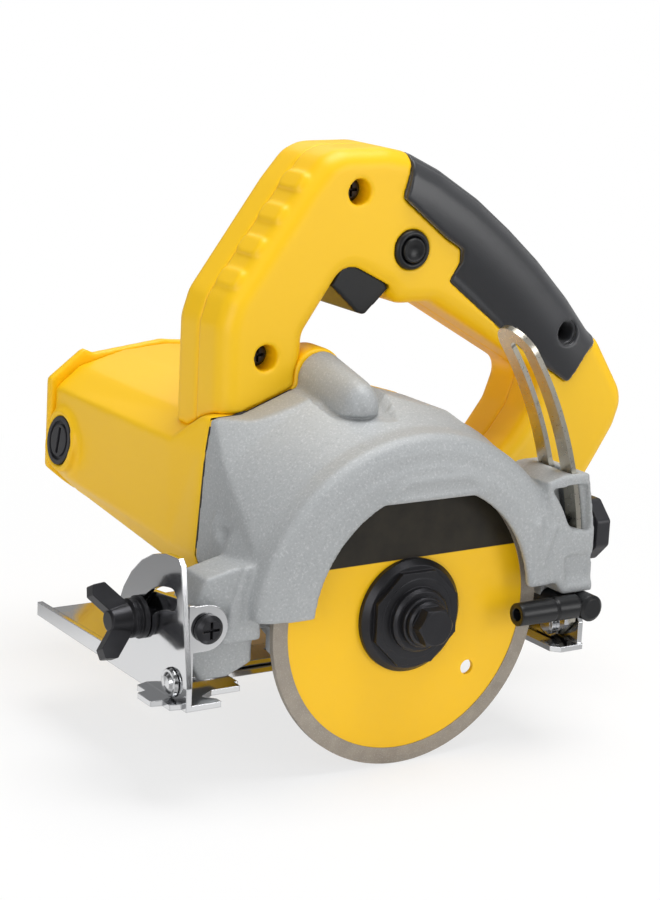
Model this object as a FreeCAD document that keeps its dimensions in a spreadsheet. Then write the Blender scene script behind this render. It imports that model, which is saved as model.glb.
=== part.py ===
import FreeCAD, Part
import Sketcher
import math
import os
from FreeCAD import Placement, Rotation, Vector

# Hand-held wet tile cutter.
# Frame: origin at the blade centre, X to the rear, Y from the blade into the motor, Z up.

doc = FreeCAD.newDocument("tileCutter")

# ---------------------------------------------------------------- sizes
sheet = doc.addObject("Spreadsheet::Sheet", "sizes")
sizes = {
    # blade and its mounting
    "bladeRadius": 55, "rimDepth": 5.8, "rimThick": 2.2, "coreThick": 1.6, "bladeBore": 10,
    "flangeRadius": 20.5, "innerFlangeEnd": 4.8, "octagonRadius": 18, "boltHeadEnd": 20.5,
    "spindleRadius": 6, "journalRadius": 5, "tailRadius": 4, "runGap": 0.03,
    # gear pair
    "gearModule": 1, "gearTeeth": 35, "pinionTeeth": 17, "gearLow": 9, "gearHigh": 16,
    "gearBore": 6.5, "pinionBore": 4,
    # motor line
    "motorX": -9, "motorZ": 24.4, "brushY": 155, "brushTilt": 8.6,
    "coreRadius": 17, "statorLow": 74, "statorHigh": 124, "commutatorRadius": 11,
    # guard and gear case
    "guardFront": -10, "guardWall": 3, "archRadius": 45, "bladeRoom": 3.5, "guardRim": 7.5,
    "guardBottom": 6, "jointY": 42, "sideWall": 5.5,
    # motor housing
    "housingEnd": 166, "capEnd": 172, "housingWall": 2.8, "flangeDepth": 5,
    # handle
    "handleLow": 42, "partingY": 60, "handleHigh": 78, "handleRound": 7, "openingRound": 6,
    "gripSkin": 2.2, "shellWall": 2.6,
    # depth frame and base
    "pivotOut": 15.2, "depthZ": 5.8, "arcGap": 5.8, "arcThick": 2, "arcLow": -6, "arcHigh": 14,
    "slotHalf": 3.5, "bevelY": 4, "bevelZ": -13.5, "bevelRadius": 28, "bevelBoltAngle": 35,
    "soleZ": -21, "sheetThick": 2, "frontMargin": 9.1, "rearMargin": 2.4, "baseFar": 108,
}
for row, (name, value) in enumerate(sizes.items(), 1):
    sheet.set(f"A{row}", name)
    sheet.set(f"B{row}", str(value))
    sheet.setAlias(f"B{row}", name)
doc.recompute()


class Term:
    """A size read from the sheet together with the expression that names it."""

    def __init__(self, value, text):
        self.value = value
        self.text = text

    def __add__(self, other):
        other = term(other)
        return Term(self.value + other.value, f"({self.text} + {other.text})")

    def __sub__(self, other):
        other = term(other)
        return Term(self.value - other.value, f"({self.text} - {other.text})")

    def __mul__(self, other):
        other = term(other)
        return Term(self.value * other.value, f"({self.text} * {other.text})")

    def __neg__(self):
        return Term(-self.value, f"(0 - {self.text})")

    __radd__ = __add__
    __rmul__ = __mul__

    def __rsub__(self, other):
        return term(other) - self


def term(value):
    return value if isinstance(value, Term) else Term(float(value), repr(float(value)))


def size(name):
    return Term(float(sheet.get(name)), f"sizes.{name}")


def num(value):
    return term(value).value


# ---------------------------------------------------------------- building blocks
finished = []


def finish(obj, label):
    obj.Label = label
    finished.append(obj)
    return obj


def bind(obj, prop, value):
    obj.setExpression(prop, term(value).text)


def drum(radius, low, high, x=0, z=0, name="drum"):
    """Cylinder along Y."""
    obj = doc.addObject("Part::Cylinder", name)
    obj.Placement = Placement(Vector(num(x), num(low), num(z)), Rotation(Vector(1, 0, 0), -90))
    bind(obj, "Radius", radius)
    bind(obj, "Height", term(high) - low)
    for axis, value in (("x", x), ("y", low), ("z", z)):
        bind(obj, f"Placement.Base.{axis}", value)
    return obj


def rod(radius, low, high, y=0, z=0, name="rod"):
    """Cylinder along X."""
    obj = doc.addObject("Part::Cylinder", name)
    obj.Placement = Placement(Vector(num(low), num(y), num(z)), Rotation(Vector(0, 1, 0), 90))
    bind(obj, "Radius", radius)
    bind(obj, "Height", term(high) - low)
    for axis, value in (("x", low), ("y", y), ("z", z)):
        bind(obj, f"Placement.Base.{axis}", value)
    return obj


def block(x0, x1, y0, y1, z0, z1, name="block"):
    obj = doc.addObject("Part::Box", name)
    for prop, low, high in (("Length", x0, x1), ("Width", y0, y1), ("Height", z0, z1)):
        bind(obj, prop, term(high) - low)
    obj.Placement.Base = Vector(num(x0), num(y0), num(z0))
    for axis, value in (("x", x0), ("y", y0), ("z", z0)):
        bind(obj, f"Placement.Base.{axis}", value)
    return obj


def fuse(*parts):
    obj = doc.addObject("Part::MultiFuse", "fuse")
    obj.Shapes = list(parts)
    return obj


def cut(base, *tools):
    obj = doc.addObject("Part::Cut", "cut")
    obj.Base = base
    obj.Tool = tools[0] if len(tools) == 1 else fuse(*tools)
    return obj


def both(base, tool):
    obj = doc.addObject("Part::Common", "common")
    obj.Base = base
    obj.Tool = tool
    return obj


def sketched(body, plane, offset, loops, circles=()):
    """Fully placed sketch: every vertex is tied to the sheet by its two distances."""
    sketch = body.newObject("Sketcher::SketchObject", "outline")
    origin = [item for item in body.Origin.OriginFeatures if item.Role == plane][0]
    sketch.AttachmentSupport = (origin, [""])
    sketch.MapMode = "FlatFace"
    sketch.AttachmentOffset = Placement(Vector(*[num(v) for v in offset]), Rotation())
    for axis, value in zip("xyz", offset):
        bind(sketch, f"AttachmentOffset.Base.{axis}", value)
    for points in loops:
        first = sketch.GeometryCount
        corners = [Vector(num(u), num(v), 0) for u, v in points]
        for start, stop in zip(corners, corners[1:] + corners[:1]):
            sketch.addGeometry(Part.LineSegment(start, stop), False)
        for index, (u, v) in enumerate(points):
            line = first + index
            after = first + (index + 1) % len(points)
            sketch.addConstraint(Sketcher.Constraint("Coincident", line, 2, after, 1))
        for index, (u, v) in enumerate(points):
            for kind, value in (("DistanceX", u), ("DistanceY", v)):
                place = sketch.addConstraint(
                    Sketcher.Constraint(kind, -1, 1, first + index, 1, num(value)))
                if isinstance(value, Term):
                    sketch.setExpression(f"Constraints[{place}]", value.text)
    for u, v, radius in circles:
        ring = sketch.addGeometry(
            Part.Circle(Vector(num(u), num(v), 0), Vector(0, 0, 1), num(radius)), False)
        rows = (("DistanceX", u), ("DistanceY", v), ("Radius", radius))
        for kind, value in rows:
            ends = (ring, num(value)) if kind == "Radius" else (-1, 1, ring, 3, num(value))
            place = sketch.addConstraint(Sketcher.Constraint(kind, *ends))
            if isinstance(value, Term):
                sketch.setExpression(f"Constraints[{place}]", value.text)
    return sketch


def padded(name, plane, low, high, loops, circles=(), rounds=()):
    """Body: sketched outline padded from low to high, with rounded edges picked by a test."""
    body = doc.addObject("PartDesign::Body", name)
    flip = plane == "XZ_Plane"
    shift = -term(low) if flip else low
    sketch = sketched(body, plane, (0, 0, shift), loops, circles)
    pad = body.newObject("PartDesign::Pad", "pad")
    pad.Profile = sketch
    pad.Reversed = flip
    bind(pad, "Length", term(high) - low)
    doc.recompute()
    for radius, wanted in rounds:
        last = body.Tip
        edges = [f"Edge{i}" for i, edge in enumerate(last.Shape.Edges, 1) if wanted(edge)]
        if edges:
            fillet = body.newObject("PartDesign::Fillet", "fillet")
            fillet.Base = (last, edges)
            bind(fillet, "Radius", radius)
            doc.recompute()
    return body


def turned(name, points, x=0, z=0):
    """Body turned about a line along Y through x, z; points are radius and y."""
    body = doc.addObject("PartDesign::Body", name)
    sketch = sketched(body, "XY_Plane", (x, 0, z), [points])
    spin = body.newObject("PartDesign::Revolution", "revolution")
    spin.Profile = sketch
    spin.ReferenceAxis = (sketch, ["V_Axis"])
    spin.Angle = 360
    doc.recompute()
    return body


def turnedX(name, points, y=0, z=0):
    """Body turned about a line along X through y, z; points are x and radius."""
    body = doc.addObject("PartDesign::Body", name)
    sketch = sketched(body, "XZ_Plane", (0, z, -term(y)), [points])
    spin = body.newObject("PartDesign::Revolution", "revolution")
    spin.Profile = sketch
    spin.ReferenceAxis = (sketch, ["H_Axis"])
    spin.Angle = 360
    doc.recompute()
    return body


def feature(name, shape):
    obj = doc.addObject("Part::Feature", name)
    place = shape.Placement
    obj.Shape = shape
    obj.Placement = place
    return obj


def along(direction):
    def wanted(edge):
        if edge.Curve.TypeId != "Part::GeomLine":
            return False
        return abs(edge.Curve.Direction.dot(Vector(*direction))) > 0.999
    return wanted


def onPlane(axis, value):
    def wanted(edge):
        box = edge.BoundBox
        low, high = getattr(box, axis.upper() + "Min"), getattr(box, axis.upper() + "Max")
        return abs(low - num(value)) < 1e-3 and abs(high - num(value)) < 1e-3
    return wanted


def polygon(points, y):
    corners = [Vector(x, y, z) for x, z in points]
    return Part.makePolygon(corners + corners[:1])


def prism(points, low, high):
    return Part.Face(polygon(points, low)).extrude(Vector(0, high - low, 0))


def inset(points, distance, low, high):
    """Prism of an outline moved inwards by a distance."""
    face = Part.Face(polygon(points, low)).makeOffset2D(-distance, 2)
    return face.extrude(Vector(0, high - low, 0))


def turnedShape(points, x=0, z=0):
    corners = [Vector(x + r, y, z) for r, y in points]
    face = Part.Face(Part.makePolygon(corners + corners[:1]))
    return face.revolve(Vector(x, 0, z), Vector(0, 1, 0), 360)


def cylinderY(radius, low, high, x=0, z=0):
    return Part.makeCylinder(radius, high - low, Vector(x, low, z), Vector(0, 1, 0))


def boxed(x0, x1, y0, y1, z0, z1):
    return Part.makeBox(x1 - x0, y1 - y0, z1 - z0, Vector(x0, y0, z0))


# ---------------------------------------------------------------- outlines
motorX, motorZ = size("motorX"), size("motorZ")
bevelY, bevelZ = size("bevelY"), size("bevelZ")
jointY = num(size("jointY"))
# the guard clears the blade, and the depth frame hangs on the guard's two ends
cavityRadius = size("bladeRadius") + size("bladeRoom")
guardRadius = cavityRadius + size("guardRim")
depthX, depthZ = -(guardRadius + size("pivotOut")), size("depthZ")
arcX = guardRadius + size("arcGap")
arcRadius = arcX - depthX
baseFront = depthX - size("frontMargin")
baseRear = arcX + size("rearMargin")

# cross-section of the joint between gear case and motor housing, x and z
jointLine = [(-62, 16.5), (-59.5, 52.5), (-57.5, 65.5), (-46, 66), (-23, 74.5), (-2, 75),
             (22, 68), (38, 52), (38, 4), (26, -5), (-40, -5), (-58, 8)]
# cross-section of the motor housing behind the joint
tubeLine = [(-60, 15), (-60, 53), (-48, 60), (-28, 65.5), (-10, 67), (12, 65),
            (30, 58), (36, 48), (36, 6), (24, -4), (-38, -4), (-56, 6)]
endLine = [(-57, 18), (-57, 51), (-47, 59), (-28, 64), (-10, 65.5), (12, 63.5),
           (29, 57), (34, 47), (34, 7), (22, -2.6), (-30, -2.6), (-50, 11)]
# outline of the end cover with its raised lip at the front corner
lipLine = [(-59.3, 18.6), (-58.9, 54), (-44.4, 65), (-40, 63), (-10, 66.6), (12, 64.6),
           (29.8, 57.6), (35, 47.4), (35, 6.6), (22.4, -3.6), (-30.4, -3.6), (-51.6, 12)]
# side view of the D-handle, outer edge and finger opening
handleLine = [(-53.5, 40), (-53.5, 96), (-50.5, 105.5), (-23, 144), (-14.5, 154), (-8, 156.8),
              (12, 157), (22, 155), (36, 148.5), (54, 137.5), (69, 126), (83, 114), (98, 99),
              (109, 86), (114, 82), (127, 62), (128, 56), (125, 47), (118, 36), (104, 15),
              (92, 6), (20, 6)]
fingerLine = [(-20, 45), (-20, 92), (-4, 115.5), (13, 107), (19, 100.5), (34, 100.5), (87, 70),
              (82, 56), (74.5, 46), (66, 38), (32, 38)]
gripLine = [(19, 175), (22, 158), (21.2, 150.6), (18.1, 139.3), (37.4, 124.2), (44.5, 120),
            (44.7, 115.5), (40.3, 108.3), (77.2, 79.9), (97, 67), (105, 78), (118, 86),
            (130, 100), (60, 175)]
topBoss = (-14, 77)
waterLine = (num(arcX) - 6.6, -3.4)
handleScrews = [(-36, 85), (-0.4, 142), (95, 86.5), (92, 24)]


# ---------------------------------------------------------------- blade and spindle
def bladeParts():
    half = size("coreThick") * 0.5
    rimHalf = size("rimThick") * 0.5
    coreRadius = size("bladeRadius") - size("rimDepth")
    disc = padded("bladeDisc", "XZ_Plane", -half, half, [],
                  [(0, 0, coreRadius), (0, 0, size("bladeBore")), (27.1, -23.5, 2.7)])
    finish(disc, "blade_disc")
    rim = padded("diamondRim", "XZ_Plane", -rimHalf, rimHalf, [],
                 [(0, 0, size("bladeRadius")), (0, 0, coreRadius)])
    finish(rim, "diamond_rim")
    register = size("bladeBore") - 0.05
    shaft = size("spindleRadius")
    inner = turned("innerFlange", [
        (shaft, -0.5), (register, -0.5), (register, half), (size("flangeRadius"), half),
        (size("flangeRadius"), 3.4), (19, size("innerFlangeEnd")),
        (shaft, size("innerFlangeEnd"))])
    finish(inner, "inner_flange")
    outer = turned("outerFlangeDisc", [
        (shaft, -0.9), (12, -0.9), (12, -1.3), (16, -1.3), (16, -half),
        (size("flangeRadius"), -half), (size("flangeRadius"), -2.6), (18.6, -4.6),
        (14.5, -4.6), (14.5, -7), (shaft, -7)])
    octagon = [(size("octagonRadius") * math.cos(math.radians(22.5 + 45 * i)),
                size("octagonRadius") * math.sin(math.radians(22.5 + 45 * i)))
               for i in range(8)]
    boss = padded("octagonBoss", "XZ_Plane", -6.8, -4, [octagon], [(0, 0, 10)])
    hub = turned("flangeHub", [(shaft, -10), (10.5, -10), (11.5, -9), (11.5, -6), (shaft, -6)])
    finish(fuse(outer, boss, hub), "outer_flange")
    washer = turned("boltWasher", [(4.3, -12), (8.6, -12), (9, -11.6), (9, -10), (4.3, -10)])
    finish(washer, "bolt_washer")
    hexagon = [(7.2 * math.cos(math.radians(60 * i)), 7.2 * math.sin(math.radians(60 * i)))
               for i in range(6)]
    head = padded("boltHex", "XZ_Plane", -19, -14, [hexagon])
    dome = turned("boltCrown", [(0, -19), (6, -19), (7.3, -18.1), (7.3, -10), (0, -10)])
    neck = turned("boltNeck", [(0, -14.2), (7.2, -14.2), (8, -13.4), (8, -12), (0, -12)])
    shank = turned("boltShank", [(0, -14), (3.97, -14), (3.97, 11), (3.2, 12), (0, 12)])
    finish(fuse(both(head, dome), neck, shank), "blade_bolt")


def spindleParts():
    shaft, journal, tail = size("spindleRadius"), size("journalRadius"), size("tailRadius")
    gearLow, gearHigh = size("gearLow"), size("gearHigh")
    spindle = turned("spindle", [
        (4, -6), (shaft, -6), (shaft, size("innerFlangeEnd")), (7.5, size("innerFlangeEnd")),
        (7.5, gearLow), (size("gearBore"), gearLow), (size("gearBore"), gearHigh),
        (journal, gearHigh), (journal, 28.6), (tail, 28.6), (tail, 36.5), (3.5, 37), (0, 37),
        (0, 15), (4, 13)])
    finish(spindle, "spindle")


def gearShape(teeth, module, bore, low, high, x, z, turn):
    """Spur gear with involute flanks drawn through the pressure-angle construction."""
    pressure = math.radians(20)
    pitch = teeth * module / 2
    base = pitch * math.cos(pressure)
    tip = pitch + 0.95 * module
    root = pitch - 1.2 * module
    halfTooth = math.pi / (2 * teeth) - 0.045 / pitch
    involuteAt = math.tan(pressure) - pressure

    def flank(radius):
        roll = math.acos(min(1, base / max(radius, base)))
        return halfTooth + involuteAt - (math.tan(roll) - roll)

    radii = [root, max(base, root + 0.1), (max(base, root) + tip) / 2, tip]
    corners = []
    for tooth in range(teeth):
        middle = turn + 2 * math.pi * tooth / teeth
        for side, ring in ((-1, radii), (1, radii[::-1])):
            for radius in ring:
                angle = middle + side * flank(radius)
                corners.append(Vector(x + radius * math.cos(angle), low,
                                      z + radius * math.sin(angle)))
    wheel = Part.Face(Part.makePolygon(corners + corners[:1]))
    wheel = wheel.extrude(Vector(0, high - low, 0))
    return wheel.cut(cylinderY(bore, low - 1, high + 1, x, z))


def gearParts():
    module = num(size("gearModule"))
    gearTeeth, pinionTeeth = round(num(size("gearTeeth"))), round(num(size("pinionTeeth")))
    low, high = num(size("gearLow")), num(size("gearHigh"))
    x, z = num(motorX), num(motorZ)
    reach = (gearTeeth + pinionTeeth) * module / 2
    line = math.atan2(z, x)
    x, z = reach * math.cos(line), reach * math.sin(line)
    web = cylinderY(12, low - 1, low + 1.2).cut(cylinderY(9, low - 2, low + 2))
    wheel = gearShape(gearTeeth, module, num(size("gearBore")), low, high, 0, 0, line)
    finish(feature("spindleGear", wheel.cut(web)), "spindle_gear")
    # a gap of the pinion faces the tooth of the wheel on the line of centres
    turn = line + math.pi + math.pi / pinionTeeth
    pinion = gearShape(pinionTeeth, module, num(size("pinionBore")), low - 0.3, high + 0.3,
                       x, z, turn)
    finish(feature("pinion", pinion), "pinion")


# ---------------------------------------------------------------- motor line
def armatureParts():
    shaft = turned("armatureShaft", [
        (0, 8.8), (3.4, 8.8), (4, 9.4), (4, 27.6), (5, 27.6), (5, 163), (4, 163), (4, 169.6),
        (0, 169.6)], motorX, motorZ)
    finish(shaft, "armature_shaft")
    x, z = num(motorX), num(motorZ)
    radius = num(size("coreRadius"))
    low, high = num(size("statorLow")) + 2, num(size("statorHigh")) - 2
    core = cylinderY(radius, low, high, x, z).cut(cylinderY(5, low - 1, high + 1, x, z))
    slots = []
    bars = []
    for index in range(12):
        angle = 30 * index
        slot = boxed(x + 9, x + radius + 1, low - 1, high + 1, z - 1.6, z + 1.6)
        slots.append(slot.rotate(Vector(x, 0, z), Vector(0, 1, 0), angle))
        bar = boxed(x + 9.3, x + radius - 1, low - 6, high + 6, z - 1.4, z + 1.4)
        bars.append(bar.rotate(Vector(x, 0, z), Vector(0, 1, 0), angle))
    finish(feature("armatureCore", core.cut(slots)), "armature_core")
    ends = []
    for start, stop in ((low - 8, low - 0.5), (high + 0.5, high + 8)):
        crown = turnedShape([(5.2, start), (13, start), (15.8, start + 2.5), (15.8, stop - 1),
                             (15, stop), (5.2, stop)], x, z)
        ends.append(crown)
    finish(feature("armatureWinding", ends[0].fuse(ends[1:] + bars)), "armature_winding")
    radius = num(size("commutatorRadius"))
    bars = cylinderY(radius, 147, 161.5, x, z).fuse(cylinderY(radius + 1.6, 145, 147.5, x, z))
    bars = bars.cut(cylinderY(5, 140, 170, x, z))
    grooves = []
    for index in range(24):
        groove = boxed(x + radius - 0.7, x + radius + 1, 148, 164, z - 0.25, z + 0.25)
        grooves.append(groove.rotate(Vector(x, 0, z), Vector(0, 1, 0), 15 * index))
    finish(feature("commutator", bars.cut(grooves)), "commutator")
    hub = cylinderY(8, 46, 58, x, z).cut(cylinderY(5, 40, 60, x, z))
    plate = cylinderY(25, 46, 47.6, x, z).cut(cylinderY(7, 40, 60, x, z))
    blades = []
    for index in range(13):
        blade = boxed(x + 7.5, x + 24.5, 47, 56, z - 0.8, z + 0.8)
        blade.rotate(Vector(x + 16, 0, z), Vector(0, 1, 0), 22)
        blades.append(blade.rotate(Vector(x, 0, z), Vector(0, 1, 0), 360 / 13 * index))
    finish(feature("coolingFan", hub.fuse([plate] + blades)), "cooling_fan")


def bearing(name, bore, outside, low, high, x, z):
    """Shielded ball bearing: two races with a recessed shield between them."""
    step = (outside - bore) * (1 / 3)
    deep = 0.5
    return finish(turned(name, [
        (bore, low), (bore + step, low), (bore + step, low + deep), (outside - step, low + deep),
        (outside - step, low), (outside, low), (outside, high), (outside - step, high),
        (outside - step, high - deep), (bore + step, high - deep), (bore + step, high),
        (bore, high)], x, z), name)


def bearings():
    gap = size("runGap")
    bearing("spindle_bearing", size("journalRadius") + gap, term(13), 17.6, 25.6, 0, 0)
    bearing("spindle_tail_bearing", size("tailRadius") + gap, term(8), 29.2, 36, 0, 0)
    bearing("armature_front_bearing", size("pinionBore") + gap, term(11), 18, 25, motorX, motorZ)
    bearing("armature_rear_bearing", size("pinionBore") + gap, term(11), 163.6, 170, motorX,
            motorZ)


def statorParts():
    x, z = num(motorX), num(motorZ)
    low, high = num(size("statorLow")), num(size("statorHigh"))
    bore = num(size("coreRadius")) + 0.6
    outline = boxed(x - 30, x + 30, low, high, z - 24.5, z + 24.5)
    outline = outline.makeFillet(14, [e for e in outline.Edges if along((0, 1, 0))(e)])
    window = cylinderY(bore + 6, low - 1, high + 1, x, z)
    poles = boxed(x - bore - 7, x + bore + 7, low - 2, high + 2, z - 12, z + 12)
    tips = cylinderY(bore + 1.8, low, high, x, z).common(
        boxed(x - 40, x + 40, low, high, z - 15, z + 15))
    iron = outline.cut(window).fuse(outline.common(poles)).fuse(tips)
    iron = iron.cut(cylinderY(bore, low - 1, high + 1, x, z)).removeSplitter()
    iron = max(iron.Solids, key=lambda solid: solid.Volume)
    finish(feature("statorCore", iron), "stator_core")
    room = cylinderY(bore + 5.7, low - 20, high + 20, x, z)
    inner = cylinderY(bore + 2.1, low - 20, high + 20, x, z)
    for side, label in ((-1, "field_coil_front"), (1, "field_coil_rear")):
        loop = boxed(x - 22, x + 22, low - 9, high + 9, z - 18, z + 18).cut(
            boxed(x - 40, x + 40, low - 1, high + 1, z - 12.4, z + 12.4))
        half = boxed(x + 1, x + 40, 40, 150, z - 40, z + 40)
        half = half.mirror(Vector(x, 0, 0), Vector(1, 0, 0)) if side < 0 else half
        coil = room.cut(inner).common(loop).common(half)
        coil = max(coil.Solids, key=lambda solid: solid.Volume)
        finish(feature("fieldCoil", coil), label)


def brushParts():
    """Both brush lines: the same pieces turned about the motor line."""
    x, z, y = num(motorX), num(motorZ), num(size("brushY"))
    touch = num(size("commutatorRadius")) + 0.05
    tilt = num(size("brushTilt"))
    for label, angle, reach in (("front", tilt, 52), ("rear", 180 + tilt, 45)):
        carbon = boxed(x - touch - 13, x - touch, y - 4, y + 4, z - 3, z + 3)
        carbon = carbon.cut(cylinderY(touch, y - 6, y + 6, x, z))
        tube = boxed(x - reach + 8, x - touch - 2.5, y - 5.1, y + 5.1, z - 4.2, z + 4.2)
        tube = tube.cut(boxed(x - reach, x, y - 4.1, y + 4.1, z - 3.1, z + 3.1))
        spring = Part.makeCylinder(2.6, reach - 8.2 - touch - 13.1,
                                   Vector(x - touch - 13.1, y, z), Vector(-1, 0, 0))
        spring = spring.cut(Part.makeCylinder(1.9, 60, Vector(x, y, z), Vector(-1, 0, 0)))
        cap = Part.makeCylinder(9.4, 4, Vector(x - reach + 4, y, z), Vector(-1, 0, 0))
        cap = cap.fuse(Part.makeCylinder(6.5, 8, Vector(x - reach + 8, y, z), Vector(-1, 0, 0)))
        rim = Part.makeCylinder(7.6, 1, Vector(x - reach + 0.9, y, z), Vector(-1, 0, 0))
        rim = rim.cut(Part.makeCylinder(6.2, 3, Vector(x - reach + 2, y, z), Vector(-1, 0, 0)))
        slot = boxed(x - reach - 1, x - reach + 1.6, y - 1, y + 1, z - 5, z + 5)
        cap = cap.cut([rim, slot])
        for part, name in ((carbon, "carbon_brush"), (tube, "brush_holder"),
                           (spring, "brush_spring"), (cap, "brush_cap")):
            part.rotate(Vector(x, y, z), Vector(0, 1, 0), angle)
            finish(feature(name, part), f"{name}_{label}")


# ---------------------------------------------------------------- gear case and guard
def guardDrum():
    """Front part of the casting: the round guard with its creased front face."""
    front, radius = num(size("guardFront")), num(guardRadius)
    return turnedShape([
        (0, front), (radius - 11, front), (radius - 10, front + 0.9), (radius - 8.5, front + 0.9),
        (radius - 5.5, front + 1.2), (radius - 2.5, front + 2.6), (radius - 0.5, front + 5),
        (radius, front + 8), (radius + 1, 4), (radius + 3, 14), (radius + 4, 17), (0, 17)])


def caseBody():
    radius = num(guardRadius)
    cone = turnedShape([(0, 0), (radius, 0), (radius + 5, 12), (radius + 11, 26),
                        (radius + 22, jointY), (0, jointY)])
    return cone.common(prism(jointLine, 0, jointY))


def gearCase():
    front, gw = num(size("guardFront")), num(size("guardWall"))
    side, bottom = num(size("sideWall")), num(size("guardBottom"))
    motorAtX, motorAtZ = num(motorX), num(motorZ)
    pivotX, pivotZ = num(depthX), num(depthZ)
    cavity, guard, arcAt = num(cavityRadius), num(guardRadius), num(arcX)
    big = 200
    drumShape = guardDrum().common(boxed(-guard + 1.2, big, front, 17, bottom, big))
    body = drumShape.fuse(caseBody())
    # wall behind the blade reaches below the guard, with the gear pocket in its middle
    skirt = prism([(-guard - 6, 10), (-guard - 6, -15.5), (-guard - 2.5, -15.5),
                   (-guard + 7, -11.5), (-guard + 7, 0), (-52, 0), (-52, -9), (-45, -15.5),
                   (30, -15.5), (44, -4), (guard - 8, -1), (guard - 8, 12)], side, 9)
    pocket = cylinderY(20.2, side, 17, 0, 0)
    floor = prism([(-60, 8), (-46, -8), (-30, -15), (28, -15), (38, -4), (38, 10)], 8, 17)
    lug = prism([(pivotX - 4.5, pivotZ - 9), (pivotX - 4.5, pivotZ + 0.6),
                 (pivotX - 1.2, pivotZ + 7.5), (pivotX + 2.2, pivotZ + 15),
                 (-guard + 4, pivotZ + 19), (-guard + 8, pivotZ - 8), (-guard + 4, -12),
                 (-guard - 2, -15.5), (pivotX + 2.2, -15.5)], 0.3, 19)
    lug = lug.cut(boxed(pivotX - 20, -40, -5, side, -30, pivotZ - 8).fuse(
        prism([(pivotX - 9, 40), (pivotX - 9, -30), (pivotX - 2.8, -30), (-guard, 24.5),
               (-guard, 40)], -4, 3)))
    lug = lug.fuse(cylinderY(4.5, 0.3, 19, pivotX, pivotZ))
    dome = cylinderY(9.5, 18, jointY, *topBoss)
    nose = Part.makeSphere(9.5, Vector(topBoss[0], 18, topBoss[1]))
    boss = prism([(guard - 10, 10), (guard - 4, 1.5), (arcAt + 3.8, 1.5), (arcAt + 3, 24),
                  (arcAt - 1.2, 46), (guard - 6, 46), (guard - 14, 44)], -9, 19)
    waterX, waterZ = waterLine
    saddle = boxed(waterX - 3.6, waterX + 3.6, 3, 19, waterZ, 2).cut(
        cylinderY(3.62, 0, 25, waterX, waterZ))
    flank = prism([(-guard + 1, bottom), (-guard + 4, 54), (-20, 60), (-20, bottom)], -2,
                  30).common(
        turnedShape([(0, -4), (guard - 2.5, -4), (guard, 0), (guard + 2, 12),
                     (guard + 5, 30), (0, 30)]))
    body = body.fuse([skirt, pocket, floor, lug, dome, nose, boss, saddle, flank])
    # blade room, arch opening and the flat above it
    room = cylinderY(cavity, front + gw, side, 0, 0)
    archRadius = num(size("archRadius"))
    arch = cylinderY(archRadius, front - 1, 0, 1, 2).cut(
        boxed(-60, 60, front - 2, 2, archRadius - 2, archRadius + 15))
    under = boxed(-guard + 8, guard - 8, front - 1, side, -40, 2)
    # strip guide: a slot on the arc radius through the rear boss, opened by a window
    radius, thick = num(arcRadius), num(size("arcThick"))
    slotLow, slotHigh = num(size("arcLow")) - 0.4, num(size("arcHigh")) + 0.4
    guide = cylinderY(radius + 0.4, slotLow, slotHigh, pivotX, pivotZ).cut(
        cylinderY(radius - thick - 0.4, -40, 40, pivotX, pivotZ))
    guide = guide.common(boxed(arcAt - 20, arcAt + 20, -40, 40, -10, 80))
    window = prism([(arcAt - 11.3, 42), (arcAt - 1.3, 42), (arcAt + 1.2, 24), (arcAt - 5.8, 26)],
                   -12, -5.5)
    pane = prism([(arcAt - 5.8, 16), (arcAt + 3.7, 16), (arcAt + 4.7, 5), (arcAt - 4.8, 5)],
                 -12, -8)
    lockAt = lockPlace()
    lock = rod3(3.1, arcAt - 11.8, arcAt + 18, *lockAt).fuse(
        rod3(4.8, arcAt - 11.8, arcAt - 2.8, *lockAt))
    # gear room open to the blade side, closed by the cover
    tipGap = 19.3
    hull = cylinderY(tipGap, side + 3, 17, 0, 0).fuse([
        cylinderY(10.6, side + 3, 17, motorAtX, motorAtZ),
        prism([(-14, 20), (-18.6, 4), (18, 6), (1.5, 26), (-9, 34.8)], side + 3, 17)])
    coverSeat = prism(coverLine(0.15), side - 1, side + 3)
    spindleBore = cylinderY(13, 17, 25.6, 0, 0).fuse([
        cylinderY(11, 25, 29.2, 0, 0), cylinderY(8, 29, 36, 0, 0), cylinderY(6.5, 35, 38, 0, 0)])
    motorBore = cylinderY(11, 17, 25, motorAtX, motorAtZ).fuse(
        cylinderY(6, 24, 40, motorAtX, motorAtZ))
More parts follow.
